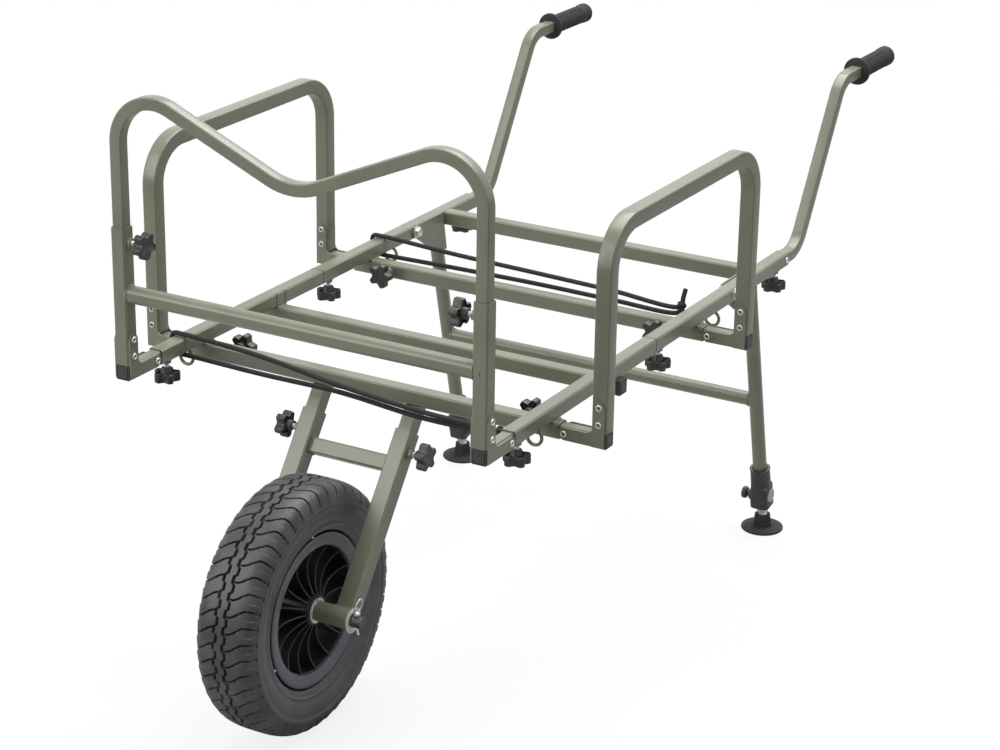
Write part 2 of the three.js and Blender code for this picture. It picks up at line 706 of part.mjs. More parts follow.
// Fork: sleeves over the stubs, a brace between them and a boss at the foot of each
function addFork() {
    const fork = new THREE.Group();
    fork.position.set(0, front_bar_place, bar_bottom);
    fork.rotation.x = -fork_lean;
    barrow.add(fork);
    const brace_y = (sleeve_size - fork_brace_depth) / 2;
    const brace_z = -sleeve_drop - fork_brace_drop - tube_size / 2;
    let arms = solidOf(squareBar('x', -fork_x, fork_x, tube_size, tube_corner)
        .scale(1, fork_brace_depth / tube_size, 1).translate(0, brace_y, brace_z));
    for (const side of [-1, 1]) {
        const x = side * fork_x;
        const sleeve = squareBar('z', -fork_length, -sleeve_drop, sleeve_size, tube_corner);
        arms = arms.add(solidOf(sleeve.translate(x, 0, 0)));
        const boss_middle = (boss_inner_end + boss_outer_end) / 2;
        const boss_half_length = (boss_outer_end - boss_inner_end) / 2;
        const boss = rod('x', -boss_half_length, boss_half_length, boss_radius)
            .translate(side * boss_middle, -axle_offset, -fork_length);
        arms = arms.add(solidOf(boss));
    }
    for (const side of [-1, 1]) {
        const x = side * fork_x;
        const hole = extrudedAlong('z', -fork_length + boss_radius + tube_wall, cut_overrun,
            squareOutline(sleeve_size - 2 * tube_wall)).translate(x, 0, 0);
        arms = arms.subtract(solidOf(hole));
        const face = new THREE.Vector3(x + side * sleeve_size / 2, 0, -sleeve_drop - fork_clamp_drop);
        const outward = side > 0 ? toward.left : toward.right;
        arms = withClampNut(arms, face, outward, tube_wall);
        addKnob(side > 0 ? 'left_fork_knob' : 'right_fork_knob', face, outward, fork);
    }
    const axle_bore = rod('x', -boss_outer_end - cut_overrun, boss_outer_end + cut_overrun,
        boreRadius(axle_radius, round_sides)).translate(0, -axle_offset, -fork_length);
    addPiece('wheel_fork', arms.subtract(solidOf(axle_bore)), olive_paint, fork);
}

// Axle with its washers, drilled at both ends for the ring pins
function addAxle() {
    let axle = solidOf(rod('x', -axle_half_length, axle_half_length, axle_radius));
    for (const side of [-1, 1]) {
        for (const start of [hub_width / 2 + touch_gap, boss_outer_end + touch_gap]) {
            const middle = side * (start + washer_thickness / 2);
            const washer = rod('x', -washer_thickness / 2, washer_thickness / 2, washer_radius);
            axle = axle.add(solidOf(washer.translate(middle, 0, 0)));
        }
        const pin_hole = rod('z', -axle_radius - cut_overrun, axle_radius + cut_overrun,
            pin_radius + touch_gap, small_round_sides);
        axle = axle.subtract(solidOf(pin_hole.translate(side * pin_place, 0, 0)));
        addRingPin(side > 0 ? 'left_ring_pin' : 'right_ring_pin', side);
    }
    const piece = addPiece('axle', axle, bright_zinc);
    piece.position.set(0, axle_place, axle_height);
}

// Ring pin: a pin down through the axle, with its head and wire ring on top
function addRingPin(name, side) {
    const head_start = axle_radius + touch_gap;
    const pin = turned([[0, -axle_radius - pin_overhang], [pin_radius, -axle_radius - pin_overhang],
        [pin_radius, head_start], [pin_head_radius, head_start],
        [pin_head_radius, head_start + pin_head_height], [0, head_start + pin_head_height]],
    small_round_sides);
    const ring = new THREE.TorusGeometry(pin_ring_radius, pin_wire_radius, ring_wire_sides, ring_sides)
        .rotateY(Math.PI / 2).translate(0, 0, head_start + pin_head_height + pin_ring_radius);
    const piece = addPiece(name, solidOf(pin).add(solidOf(ring)), bright_zinc);
    piece.position.set(side * pin_place, axle_place, axle_height);
}

// Tyre: a closed ring of tyre section, open toward the rim
function addTyre() {
    const half = tyre_width / 2;
    const bead_x = rim_width / 2 - rim_wall - bead_gap;
    const bead_radius = rim_barrel_radius + bead_gap;
    const flange_clear = rim_flange_radius + rim_wall;
    const depth = tyre_radius - flange_clear;
    const sidewall = sidewall_shares.map(([depth_share, width_share]) => [
        flange_clear + depth * depth_share, half * width_share]);
    const outer = [[bead_radius, bead_x], [rim_flange_radius, bead_x], [flange_clear, rim_width / 2],
        ...sidewall, [tyre_radius - tyre_wall, half * shoulder_width_share],
        [tyre_radius - tyre_crown_drop, half * crown_width_share], [tyre_radius, 0]];
    const inner = [[tyre_radius - tyre_crown_wall, half * cavity_crown_share],
        [flange_clear + depth * cavity_depth_share, half - tyre_wall],
        [rim_flange_radius, bead_x - tyre_wall], [bead_radius, bead_x - tyre_wall]];
    const mirrored = (points) => points.map(([radius, x]) => [radius, -x]).reverse();
    const profile = [...outer, ...mirrored(outer).slice(1), ...mirrored(inner), ...inner, outer[0]];
    const tyre = turned(profile.reverse(), tyre_steps).rotateY(Math.PI / 2);
    const piece = addPiece('tyre', solidOf(tyre), black_rubber);
    piece.position.set(0, axle_place, axle_height);
}

// Rim: barrel with two flanges, a hub, and radial vanes between them
function addRim() {
    const half = rim_width / 2;
    const inner_radius = rim_barrel_radius - rim_wall;
    const profile = [[inner_radius, half], [rim_flange_radius, half], [rim_flange_radius, half - rim_wall],
        [rim_barrel_radius, half - rim_wall], [rim_barrel_radius, -half + rim_wall],
        [rim_flange_radius, -half + rim_wall], [rim_flange_radius, -half], [inner_radius, -half],
        [inner_radius, half]];
    const solids = [solidOf(turned(profile.reverse(), tyre_steps).rotateY(Math.PI / 2))];
    solids.push(solidOf(rod('x', -hub_width / 2, hub_width / 2, hub_radius)));
    for (let index = 0; index < vane_count; index += 1) {
        solids.push(solidOf(vane().rotateX(index / vane_count * Math.PI * 2)));
    }
    const bore = solidOf(rod('x', -hub_width, hub_width, boreRadius(axle_radius, round_sides)));
    const piece = addPiece('rim', joined(solids).subtract(bore), rim_plastic);
    piece.position.set(0, axle_place, axle_height);
}

// Thin radial vane whose two edges are dished between the hub and the barrel
function vane() {
    const start = hub_radius - rim_wall / 2;
    const end = rim_barrel_radius - rim_wall / 2;
    const waist = start + (end - start) * vane_waist_share;
    const edge = [[start, vane_hub_width / 2], [waist, vane_waist_width / 2], [end, vane_rim_width / 2]];
    const mirrored = edge.map(([radius, x]) => [radius, -x]).reverse();
    const shape = new THREE.Shape([...mirrored, ...edge].map(([radius, x]) => new THREE.Vector2(x, radius)));
    return new THREE.ExtrudeGeometry(shape, { depth: vane_thickness, bevelEnabled: false })
        .translate(0, 0, -vane_thickness / 2);
}

// Leg frame: two tubes under the rails on pivot plates, with a round brace between them
function addLegs() {
    const tube_length = (rail_bottom - collar_bottom_height - collar_length / 2) / Math.cos(leg_lean);
    const top_cut = box(rail_spacing * 2, rail_length, tube_size, 0, leg_top_place,
        rail_bottom - touch_gap + tube_size / 2);
    const solids = [];
    const brace_place = leg_top_place + leg_brace_distance * Math.sin(leg_lean);
    const brace_height = rail_bottom - leg_brace_distance * Math.cos(leg_lean);
    solids.push(solidOf(rod('x', -rail_x, rail_x, leg_tube_radius).translate(0, brace_place, brace_height)));
    for (const side of [-1, 1]) {
        const tube = rod('z', -tube_length, leg_tube_radius, leg_tube_radius)
            .rotateX(leg_lean).translate(side * rail_x, leg_top_place, rail_bottom);
        solids.push(solidOf(tube).subtract(top_cut));
        solids.push(legPlate(side));
        addLegFoot(side > 0 ? 'left' : 'right', side);
    }
    const brace_bore = rod('x', -rail_x, rail_x, leg_tube_radius - leg_tube_wall, small_round_sides)
        .translate(0, brace_place, brace_height);
    let frame = joined(solids).subtract(solidOf(brace_bore));
    for (const side of [-1, 1]) {
        const bore = rod('z', -tube_length - cut_overrun, cut_overrun, leg_tube_radius - leg_tube_wall)
            .rotateX(leg_lean).translate(side * rail_x, leg_top_place, rail_bottom);
        frame = frame.subtract(solidOf(bore));
    }
    addPiece('leg_frame', frame, olive_paint);
}

// Pivot plate on the rail's inner face, welded to the top of the leg tube
function legPlate(side) {
    const back = leg_top_place - leg_pivot_place;
    const shape = new THREE.Shape();
    const end = leg_plate_end_radius;
    const rear = back + leg_tube_radius / 2;
    shape.absarc(0, 0, end, Math.PI / 2, Math.PI * 3 / 2);
    shape.lineTo(back - leg_tube_radius, -leg_plate_drop);
    shape.lineTo(rear + leg_plate_drop * Math.tan(leg_lean), -leg_plate_drop);
    shape.lineTo(rear, end);
    const inner_x = rail_x - tube_size / 2 - touch_gap;
    const plate = new THREE.ExtrudeGeometry(shape, { depth: leg_plate_thickness, bevelEnabled: false,
        curveSegments: plate_arc_steps }).rotateX(Math.PI / 2).rotateZ(Math.PI / 2);
    const plate_x = side > 0 ? inner_x - leg_plate_thickness : -inner_x;
    plate.translate(plate_x, leg_pivot_place, rail_centre_height);
    const hole = rod('x', -tube_size, tube_size, boreRadius(pivot_bolt_radius), small_round_sides)
        .translate(side * inner_x, leg_pivot_place, rail_centre_height);
    const weld_x = side * (inner_x - leg_plate_thickness / 2 + leg_tube_radius / 4);
    const weld_height = leg_plate_drop - tube_size / 2 - 2 * touch_gap;
    const weld = box(leg_tube_radius / 2, leg_tube_radius, weld_height, weld_x,
        leg_top_place + weld_height / 2 * Math.tan(leg_lean), rail_bottom - touch_gap - weld_height / 2);
    return solidOf(plate).add(weld).subtract(solidOf(hole));
}

// Clamp collar, thumb screw, sliding foot rod with its ball, and mud foot
function addLegFoot(name, side) {
    const leg = new THREE.Group();
    leg.position.set(side * rail_x, leg_foot_place, ball_height);
    leg.rotation.x = leg_lean;
    barrow.add(leg);
    const slope = 1 / Math.cos(leg_lean);
    const collar_start = (collar_bottom_height - ball_height) * slope;
    const collar_end = collar_start + collar_length;
    const sleeve_bore = leg_tube_radius + collar_bore_gap;
    const rod_bore = foot_rod_radius + collar_bore_gap;
    const tube_end = (collar_bottom_height + collar_length / 2 - ball_height) * slope;
    const collar = turned([[rod_bore, collar_start], [collar_radius, collar_start],
        [collar_radius, collar_end], [sleeve_bore, collar_end],
        [sleeve_bore, tube_end - touch_gap], [rod_bore, tube_end - touch_gap], [rod_bore, collar_start]]);
    const middle = (collar_start + tube_end) / 2;
    const inward = side > 0 ? toward.right : toward.left;
    const place = new THREE.Vector3(0, 0, middle);
    const boss = rod('z', collar_radius - thumb_boss_depth, collar_radius + thumb_boss_length, thumb_radius,
        small_round_sides);
    const screw_bore = rod('z', 0, collar_radius + thumb_boss_length + cut_overrun,
        boreRadius(stud_radius), small_round_sides);
    const bored = solidOf(collar).add(solidOf(aimed(boss, place, inward)))
        .subtract(solidOf(aimed(screw_bore, place, inward)));
    addPiece(`${name}_leg_collar`, bored, black_plastic, leg);

    const screw_start = foot_rod_radius + touch_gap;
    const head_start = collar_radius + thumb_boss_length + touch_gap;
    const thumb = solidOf(turned([[0, screw_start], [stud_radius, screw_start], [stud_radius, head_start],
        [thumb_radius, head_start], [thumb_radius, head_start + thumb_length],
        [0, head_start + thumb_length]], small_round_sides));
    const screw = addPiece(`${name}_leg_knob`, thumb, black_plastic, leg);
    screw.quaternion.setFromUnitVectors(new THREE.Vector3(0, 0, 1), inward);
    screw.position.copy(place);

    const ball = new THREE.SphereGeometry(ball_radius, small_round_sides, small_round_sides / 2 + 1);
    const foot_rod = solidOf(rod('z', ball_radius + touch_gap, foot_rod_insert, foot_rod_radius))
        .add(solidOf(rod('z', 0, collar_start, ball_neck_radius, small_round_sides))).add(solidOf(ball));
    addPiece(`${name}_lower_leg`, foot_rod, bright_zinc, leg);

    const socket = ball_radius + ball_gap;
    const lip_radius = Math.sqrt(socket * socket - socket_lip_height * socket_lip_height);
    const foot_profile = [[0, 0], [foot_radius, 0], [foot_radius, foot_thickness / 2],
        [foot_radius - foot_thickness / 2, foot_thickness], [foot_hub_radius, foot_thickness],
        [foot_hub_top_radius, ball_height + socket_lip_height],
        [lip_radius, ball_height + socket_lip_height]];
    for (const share of socket_arc_shares) {
        const angle = (Math.PI / 2 + Math.asin(socket_lip_height / socket)) * share;
        const fall = Math.asin(socket_lip_height / socket) - angle;
        foot_profile.push([socket * Math.cos(fall), ball_height + socket * Math.sin(fall)]);
    }
    foot_profile.push([0, ball_height - socket]);
    const foot = addPiece(`${name}_foot`, solidOf(turned(foot_profile)), black_rubber);
    foot.position.set(side * rail_x, leg_foot_place, 0);
}

// Bungee cord: over and under the right rail, both strands to a knot by the left rail
function addBungee(name, points, knot_centre) {
    const route = new THREE.CatmullRomCurve3(points.map((point) => new THREE.Vector3(...point)), false,
        'centripetal');
    const steps = points.length - 1;
    const stations = Array.from({ length: steps + 1 }, (_, step) => ({
        point: route.getPoint(step / steps),
        tangent: route.getTangent(step / steps),
    }));
    const section = new THREE.Shape();
    section.absarc(0, 0, cord_radius, 0, Math.PI * 2);
    const cord = new THREE.ExtrudeGeometry(section, { steps, extrudePath: new StationPath(stations),
        curveSegments: cord_sides / 2 });
    const knot = new THREE.SphereGeometry(knot_radius, small_round_sides, small_round_sides / 2 + 1)
        .translate(...knot_centre);
    addPiece(name, solidOf(cord).add(solidOf(knot)), cord_fabric);
}

// Points of a cord's wrap over, outside and under the right rail
function railWrap(place) {
    const bend = tube_corner + cord_radius + touch_gap;
    const across = rail_x + tube_size / 2 - tube_corner;
    const points = [[-rail_x, place, rail_top - tube_corner + bend]];
    for (const [height, first] of [[rail_top - tube_corner, Math.PI / 2], [rail_bottom + tube_corner, 0]]) {
        for (const share of wrap_turn_shares) {
            const angle = first - Math.PI / 2 * share;
            points.push([-across - bend * Math.cos(angle), place, height + bend * Math.sin(angle)]);
        }
    }
    points.push([-rail_x, place, rail_bottom + tube_corner - bend]);
    return points;
}

// Points given as shares, beside the place where the cord goes round the rail
function cordPoints(shares, place) {
    const knot_x = rail_x - tube_size / 2 - knot_radius - touch_gap;
    return shares.map(([across, back, up]) => [knot_x * across, place + tube_size * back,
        rail_centre_height + tube_size * up]);
}

function addCord(name, place, knot_shares, before, upper, lower, after) {
    const over = rail_top + cord_radius + touch_gap + cord_slack;
    const under = rail_bottom - cord_radius - touch_gap - cord_slack;
    const inside = tube_size / 2 - rail_x;
    const [knot] = cordPoints([knot_shares], place);
    addBungee(name, [...cordPoints(before, place), knot, ...cordPoints(upper, place),
        [inside, place, over], ...railWrap(place), [inside, place, under],
        ...cordPoints(lower, place), ...cordPoints(after, place)], knot);
}

function addBungees() {
    addCord('front_bungee', front_cord_place, front_knot_shares, [], front_upper_shares,
        front_lower_shares, front_tail_shares);
    addCord('rear_bungee', rear_cord_place, rear_knot_shares, rear_end_shares, rear_upper_shares,
        rear_lower_shares, rear_tail_shares);
}

for (const [name, side] of [['left', 1], ['right', -1]]) {
    addRails(name, side);
    addSideHoop(name, side);
    addHandle(name, side);
}
addCrossBars();
addFrontRack();
addFrontHoop();
addFork();
addAxle();
addTyre();
addRim();
addLegs();
addBungees();
barrow.position.set(0, -middle_place, 0);

export default barrow;
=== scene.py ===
"""Looks of a one-wheel fishing trolley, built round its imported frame.

All lengths are in metres. +Z is up, -Y is the wheel end and +X is the left hand
of the person who pushes.
"""

import logging
import math
from collections.abc import Callable
from dataclasses import dataclass, field
from enum import Enum

import bpy
import numpy as np
from mathutils import Matrix, Vector


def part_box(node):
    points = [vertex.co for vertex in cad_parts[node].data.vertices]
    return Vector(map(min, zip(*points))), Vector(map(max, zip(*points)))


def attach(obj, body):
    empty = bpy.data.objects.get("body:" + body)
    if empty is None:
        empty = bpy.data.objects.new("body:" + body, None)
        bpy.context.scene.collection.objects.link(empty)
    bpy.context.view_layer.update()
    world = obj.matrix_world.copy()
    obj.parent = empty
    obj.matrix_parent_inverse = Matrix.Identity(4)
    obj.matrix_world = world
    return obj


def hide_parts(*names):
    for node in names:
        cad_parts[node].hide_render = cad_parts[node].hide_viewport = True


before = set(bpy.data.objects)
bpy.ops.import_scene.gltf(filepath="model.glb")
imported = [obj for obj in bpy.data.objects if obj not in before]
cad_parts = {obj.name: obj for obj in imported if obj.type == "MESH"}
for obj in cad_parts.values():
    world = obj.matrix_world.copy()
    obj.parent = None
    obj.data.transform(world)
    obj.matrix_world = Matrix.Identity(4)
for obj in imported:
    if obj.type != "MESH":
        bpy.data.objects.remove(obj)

log = logging.getLogger("trolley")

Point = tuple[float, float]
Profile = tuple[Point, ...]
Levels = tuple[tuple[float, float, float], ...]
Colour = tuple[float, float, float, float]
Ring = list[Vector]


class Side(Enum):
    """A side of the trolley, as a sign along X."""

    LEFT = 1
    RIGHT = -1

    @property
    def word(self) -> str:
        """The side's name in node and body names."""
        return self.name.lower()

    @property
    def outward(self) -> "Axis":
        """Direction away from the middle."""
        return Axis.LEFT if self is Side.LEFT else Axis.RIGHT

    @property
    def inward(self) -> "Axis":
        """Direction towards the middle."""
        return Axis.RIGHT if self is Side.LEFT else Axis.LEFT


class Axis(Enum):
    """Directions that screws, rivets and panels face."""

    LEFT = (1.0, 0.0, 0.0)
    RIGHT = (-1.0, 0.0, 0.0)
    BACK = (0.0, 1.0, 0.0)
    FRONT = (0.0, -1.0, 0.0)
    DOWN = (0.0, 0.0, -1.0)

    def turn(self) -> Matrix:
        """The turn that brings local +Z onto this direction.

        Returns:
            The turn's matrix.
        """
        if self is Axis.DOWN:
            return Matrix.Rotation(math.pi, 4, "Y")
        return Vector((0, 0, 1)).rotation_difference(Vector(self.value)).to_matrix().to_4x4()


@dataclass(frozen=True)
class Layout:
    """Places that several sub-assemblies share."""

    middle_place: float = 0.563028
    rail_x: float = 0.317
    rail_height: float = 0.512
    tube: float = 0.025
    tube_corner: float = 0.0025
    inner_tube: float = 0.020
    rail_joint_place: float = 0.457
    front_bar_place: float = 0.125
    rear_bar_place: float = 0.619
    mid_bar_place: float = 0.329
    handle_bar_place: float = 0.866
    post_place: float = -0.073
    post_top: float = 0.745
    rack_bar_height: float = 0.639
    rack_bar_radius: float = 0.014
    side_hoop_x: float = 0.407
    fork_x: float = 0.085
    sleeve: float = 0.030
    fork_lean: float = math.radians(36)
    fork_length: float = 0.348025
    axle_height: float = 0.200
    axle_place: float = -0.089268
    leg_lean: float = math.radians(13.4)
    leg_top_place: float = 0.841
    leg_radius: float = 0.0125
    ball_height: float = 0.026

    def back(self, place: float) -> float:
        """Y of a place measured back from the rails' front ends."""
        return place - self.middle_place

    def spot(self, x: float, place: float, height: float) -> Vector:
        """A point at an X, a place back from the rails' front ends, and a height."""
        return Vector((x, self.back(place), height))

    @property
    def rail_bottom(self) -> float:
        """Height of the rails' lower faces."""
        return self.rail_height - self.tube / 2

    @property
    def rail_top(self) -> float:
        """Height of the rails' upper faces."""
        return self.rail_height + self.tube / 2

    @property
    def bar_height(self) -> float:
        """Height of the middle of the bars under the rails."""
        return self.rail_bottom - self.tube / 2

    @property
    def bar_bottom(self) -> float:
        """Height of the lower faces of the bars under the rails."""
        return self.bar_height - self.tube / 2

    @property
    def foot_y(self) -> float:
        """Y of the feet's balls."""
        drop = self.rail_bottom - self.ball_height
        return self.back(self.leg_top_place) + drop * math.tan(self.leg_lean)

    def fork_frame(self) -> Matrix:
        """Frame of the wheel fork: origin under the front bar, +Z up along the sleeves."""
        place = Matrix.Translation(self.spot(0, self.front_bar_place, self.bar_bottom))
        return place @ Matrix.Rotation(-self.fork_lean, 4, "X")

    def leg_frame(self, side: Side) -> Matrix:
        """Frame of one leg: origin at the foot's ball, +Z up along the leg."""
        place = Matrix.Translation((side.value * self.rail_x, self.foot_y, self.ball_height))
        return place @ Matrix.Rotation(self.leg_lean, 4, "X")

    def axle_frame(self) -> Matrix:
        """Frame of the wheel: origin on the axle's middle, axle along X."""
        return Matrix.Translation(self.spot(0, self.axle_place, self.axle_height))


LAYOUT = Layout()


@dataclass(frozen=True)
class Corner:
    """A corner where a post stands on the end of a stub, with plates on two faces."""

    name: str
    body: str
    origin: Vector
    outward: Axis
    faces: tuple[Axis, Axis]


def post_corners(side: Side) -> list[Corner]:
    """The corners on one side of the trolley.

    Args:
        side: Which side.

    Returns:
        The rack's corner, then the front and rear ones of the side hoop.
    """
    rack = LAYOUT.spot(side.value * LAYOUT.rail_x, LAYOUT.post_place, LAYOUT.rail_height)
    found = [Corner(f"{side.word}_rack", "front_rack", rack, Axis.FRONT, (Axis.LEFT, Axis.RIGHT))]
    for end, place in (("front", LAYOUT.front_bar_place), ("rear", LAYOUT.rear_bar_place)):
        origin = LAYOUT.spot(side.value * LAYOUT.side_hoop_x, place, LAYOUT.bar_height)
        found.append(Corner(f"{side.word}_{end}_side", f"{side.word}_side_hoop", origin, side.outward,
                            (Axis.FRONT, Axis.BACK)))
    return found


class Wire:
    """A socket of a node tree that can be used in sums."""

    def __init__(self, tree: "Tree", socket: bpy.types.NodeSocket) -> None:
        """Keeps the tree that makes the nodes, and the socket."""
        self.tree = tree
        self.socket = socket

    def twin(self, output: str) -> "Wire":
        """Another output of the node that this one comes from."""
        return Wire(self.tree, self.socket.node.outputs[output])

    def maths(self, operation: str, *values: "Wire | float") -> "Wire":
        """The result of a Math node with this operation and these inputs."""
        return self.tree.node("ShaderNodeMath", {"operation": operation}, dict(enumerate(values)))

    def __add__(self, other: "Wire | float") -> "Wire":
        """Sum."""
        return self.maths("ADD", self, other)

    __radd__ = __add__

    def __sub__(self, other: "Wire | float") -> "Wire":
        """Difference."""
        return self.maths("SUBTRACT", self, other)

    def __mul__(self, other: "Wire | float") -> "Wire":
        """Product."""
        return self.maths("MULTIPLY", self, other)

    __rmul__ = __mul__

    def sine(self) -> "Wire":
        """Sine of the value."""
        return self.maths("SINE", self)

    def step(self, low: float, high: float) -> "Wire":
        """Rises smoothly from 0 at low to 1 at high."""
        settings = {"interpolation_type": "SMOOTHSTEP"}
        return self.tree.node("ShaderNodeMapRange", settings, {0: self, 1: low, 2: high})


@dataclass(frozen=True)
class Grain:
    """A noise pattern: its cycles a metre and how many finer layers it has."""

    scale: float
    layers: float


class Tree:
    """A node tree, emptied but for its output, and the numbers of the Mix node's colour sockets."""

    first_colour: int = 6
    second_colour: int = 7
    mixed_colour: int = 2

    def __init__(self, tree: bpy.types.NodeTree, output: str) -> None:
        """Empties the tree and adds its output node.

        Args:
            tree: The node tree.
            output: Blender's name for the output node's type.
        """
        self.tree = tree
        self.tree.nodes.clear()
        self.out = self.tree.nodes.new(output)

    def finish(self, surface: Wire) -> None:
        """Makes a wire the tree's final surface."""
        self.feed(self.out.inputs[0], surface)

    def node(self, kind: str, settings: dict | None = None, sockets: dict | None = None,
             output: int | str = 0) -> Wire:
        """Adds any node.

        Args:
            kind: Blender's name for the node's type.
            settings: Attributes of the node.
            sockets: Values or wires for its inputs, by name or number.
            output: Which output comes back.

        Returns:
            The chosen output.
        """
        made = self.tree.nodes.new(kind)
        for name, value in (settings or {}).items():
            setattr(made, name, value)
        for name, value in (sockets or {}).items():
            self.feed(made.inputs[name], value)
        return Wire(self, made.outputs[output])

    def feed(self, socket: bpy.types.NodeSocket, value: "Wire | float | Colour") -> None:
        """Sets a socket, or links a wire to it.

        Args:
            socket: The socket.
            value: A value or a wire.
        """
        if isinstance(value, Wire):
            self.tree.links.new(value.socket, socket)
        else:
            socket.default_value = value

    def place(self, kind: str = "Object") -> Wire:
        """Coordinates on the piece."""
        return self.node("ShaderNodeTexCoord", output=kind)

    def noise(self, grain: Grain) -> Wire:
        """Noise from 0 to 1 in the piece's own coordinates."""
        sockets = {"Vector": self.place(), "Scale": grain.scale, "Detail": grain.layers}
        return self.node("ShaderNodeTexNoise", None, sockets)

    def blend(self, share: Wire, first: "Wire | Colour", second: "Wire | Colour") -> Wire:
        """Mixes two colours by the share of the second."""
        sockets = {0: share, self.first_colour: first, self.second_colour: second}
        return self.node("ShaderNodeMix", {"data_type": "RGBA"}, sockets, self.mixed_colour)


class Graph(Tree):
    """The node tree of one finish, with its principled shader."""

    def __init__(self, name: str, constants: dict[str, float]) -> None:
        """Makes the material.

        Args:
            name: The material's name.
            constants: Shader sockets that are the same all over, and their values.
        """
        self.material = bpy.data.materials.new(name)
        self.material.use_nodes = True
        super().__init__(self.material.node_tree, "ShaderNodeOutputMaterial")
        self.shader = self.tree.nodes.new("ShaderNodeBsdfPrincipled")
        self.coat = Wire(self, self.shader.outputs[0])
        self.finish(self.coat)
        for socket, value in constants.items():
            self.surface(socket, value)

    def surface(self, socket: str, value: "Wire | float | Colour") -> None:
        """Feeds one socket of the shader."""
        self.feed(self.shader.inputs[socket], value)

    def tint(self, share: Wire, first: "Wire | Colour", second: "Wire | Colour") -> None:
        """Colours the surface with two colours and the share of the second."""
        self.surface("Base Color", self.blend(share, first, second))

    def swing(self, roughness: float, wave: Wire, reach: float) -> None:
        """Lets the roughness swing about a value with a wave from 0 to 1."""
        self.surface("Roughness", roughness + (wave - 0.5) * reach)

    def bump(self, height: Wire, distance: float) -> None:
        """Gives the shader a bump as high as a distance where the height is 1."""
        bump = self.node("ShaderNodeBump", None, {"Height": height, "Distance": distance, "Strength": 1.0})
        self.surface("Normal", bump)


SCREEN_WHITE = 255
TOE_END = 0.04045
TOE_SLOPE = 12.92
CURVE_LIFT = 0.055
CURVE_POWER = 2.4


def linear(red: int, green: int, blue: int) -> Colour:
    """A display colour as the shader's linear one.

    Args:
        red: 0 to 255.
        green: 0 to 255.
        blue: 0 to 255.

    Returns:
        Linear red, green, blue and alpha.
    """
    def one(value: int) -> float:
        """One channel, by the curve that screens follow."""
        share = value / SCREEN_WHITE
        bent = ((share + CURVE_LIFT) / (1 + CURVE_LIFT)) ** CURVE_POWER
        return share / TOE_SLOPE if share <= TOE_END else bent
    return one(red), one(green), one(blue), 1.0


@dataclass(frozen=True)
class Finish:
    """A finish of the record: its slot, colour and how rough it is."""

    name: str
    slot: str
    colour: Colour
    roughness: float
    constants: tuple[tuple[str, float], ...] = ()

    def paint(self, graph: Graph) -> None:
        """Adds the nodes that vary over the surface; each finish has its own."""
        raise NotImplementedError

    def material(self) -> bpy.types.Material:
        """The finish as a material, made once.

        Returns:
            The material.
        """
        known = bpy.data.materials.get(self.name)
        if known:
            return known
        graph = Graph(self.name, dict(self.constants))
        self.paint(graph)
        return graph.material


@dataclass(frozen=True)
class PowderCoat(Finish):
    """Glossy paint baked on steel: an orange-peel skin with faint cloudiness."""

    dark: Colour = linear(102, 102, 85)
    clouds: Grain = Grain(9.0, 4.0)
    cloud_range: Point = (0.3, 0.75)
    cloud_share: float = 0.4
    grain: Grain = Grain(1600.0, 2.0)
    grain_share: float = 0.15
    gloss: Grain = Grain(63.0, 3.0)
    gloss_reach: float = 0.12
    peel: Grain = Grain(170.0, 1.0)
    peel_height: float = 0.00004

    def paint(self, graph: Graph) -> None:
        """Clouds the colour and roughness and raises the orange peel.

        Args:
            graph: The material's nodes.
        """
        clouds = graph.noise(self.clouds).step(*self.cloud_range)
        share = self.cloud_share * clouds + self.grain_share * graph.noise(self.grain)
        graph.tint(share, self.colour, self.dark)
        graph.swing(self.roughness, graph.noise(self.gloss), self.gloss_reach)
        graph.bump(graph.noise(self.peel), self.peel_height)


@dataclass(frozen=True)
class Moulding(Finish):
    """Moulded plastic or rubber with a fine spark-eroded grain and a little bloom."""

    bloom: Colour = linear(84, 82, 82)
    bloom_share: float = 0.35
    patches: Grain = Grain(30.0, 5.0)
    patch_range: Point = (0.4, 0.8)
    grain: Grain = Grain(1500.0, 2.0)
    grain_height: float = 0.00003
    grain_reach: float = 0.18

    def paint(self, graph: Graph) -> None:
        """Greys the colour in patches and raises the grain.

        Args:
            graph: The material's nodes.
        """
        patches = graph.noise(self.patches).step(*self.patch_range)
        graph.tint(self.bloom_share * patches, self.colour, self.bloom)
        grain = graph.noise(self.grain)
        graph.swing(self.roughness, grain, self.grain_reach)
        graph.bump(grain, self.grain_height)


@dataclass(frozen=True)
class TyreRubber(Finish):
    """Black rubber with dust on it and a fine grain."""

    dust_colour: Colour = linear(112, 108, 108)
    dust: Grain = Grain(22.0, 6.0)
    dust_range: Point = (0.42, 0.72)
    dust_share: float = 0.4
    dust_reach: float = 0.12
    fine: Grain = Grain(700.0, 3.0)
    fine_share: float = 0.15
    fine_height: float = 0.00006

    def paint(self, graph: Graph) -> None:
        """Dusts the rubber and raises the grain.

        Args:
            graph: The material's nodes.
        """
        dust = graph.noise(self.dust).step(*self.dust_range)
        fine = graph.noise(self.fine)
        graph.tint(self.dust_share * dust + self.fine_share * fine, self.colour, self.dust_colour)
        graph.swing(self.roughness, dust, self.dust_reach)
        graph.bump(fine, self.fine_height)


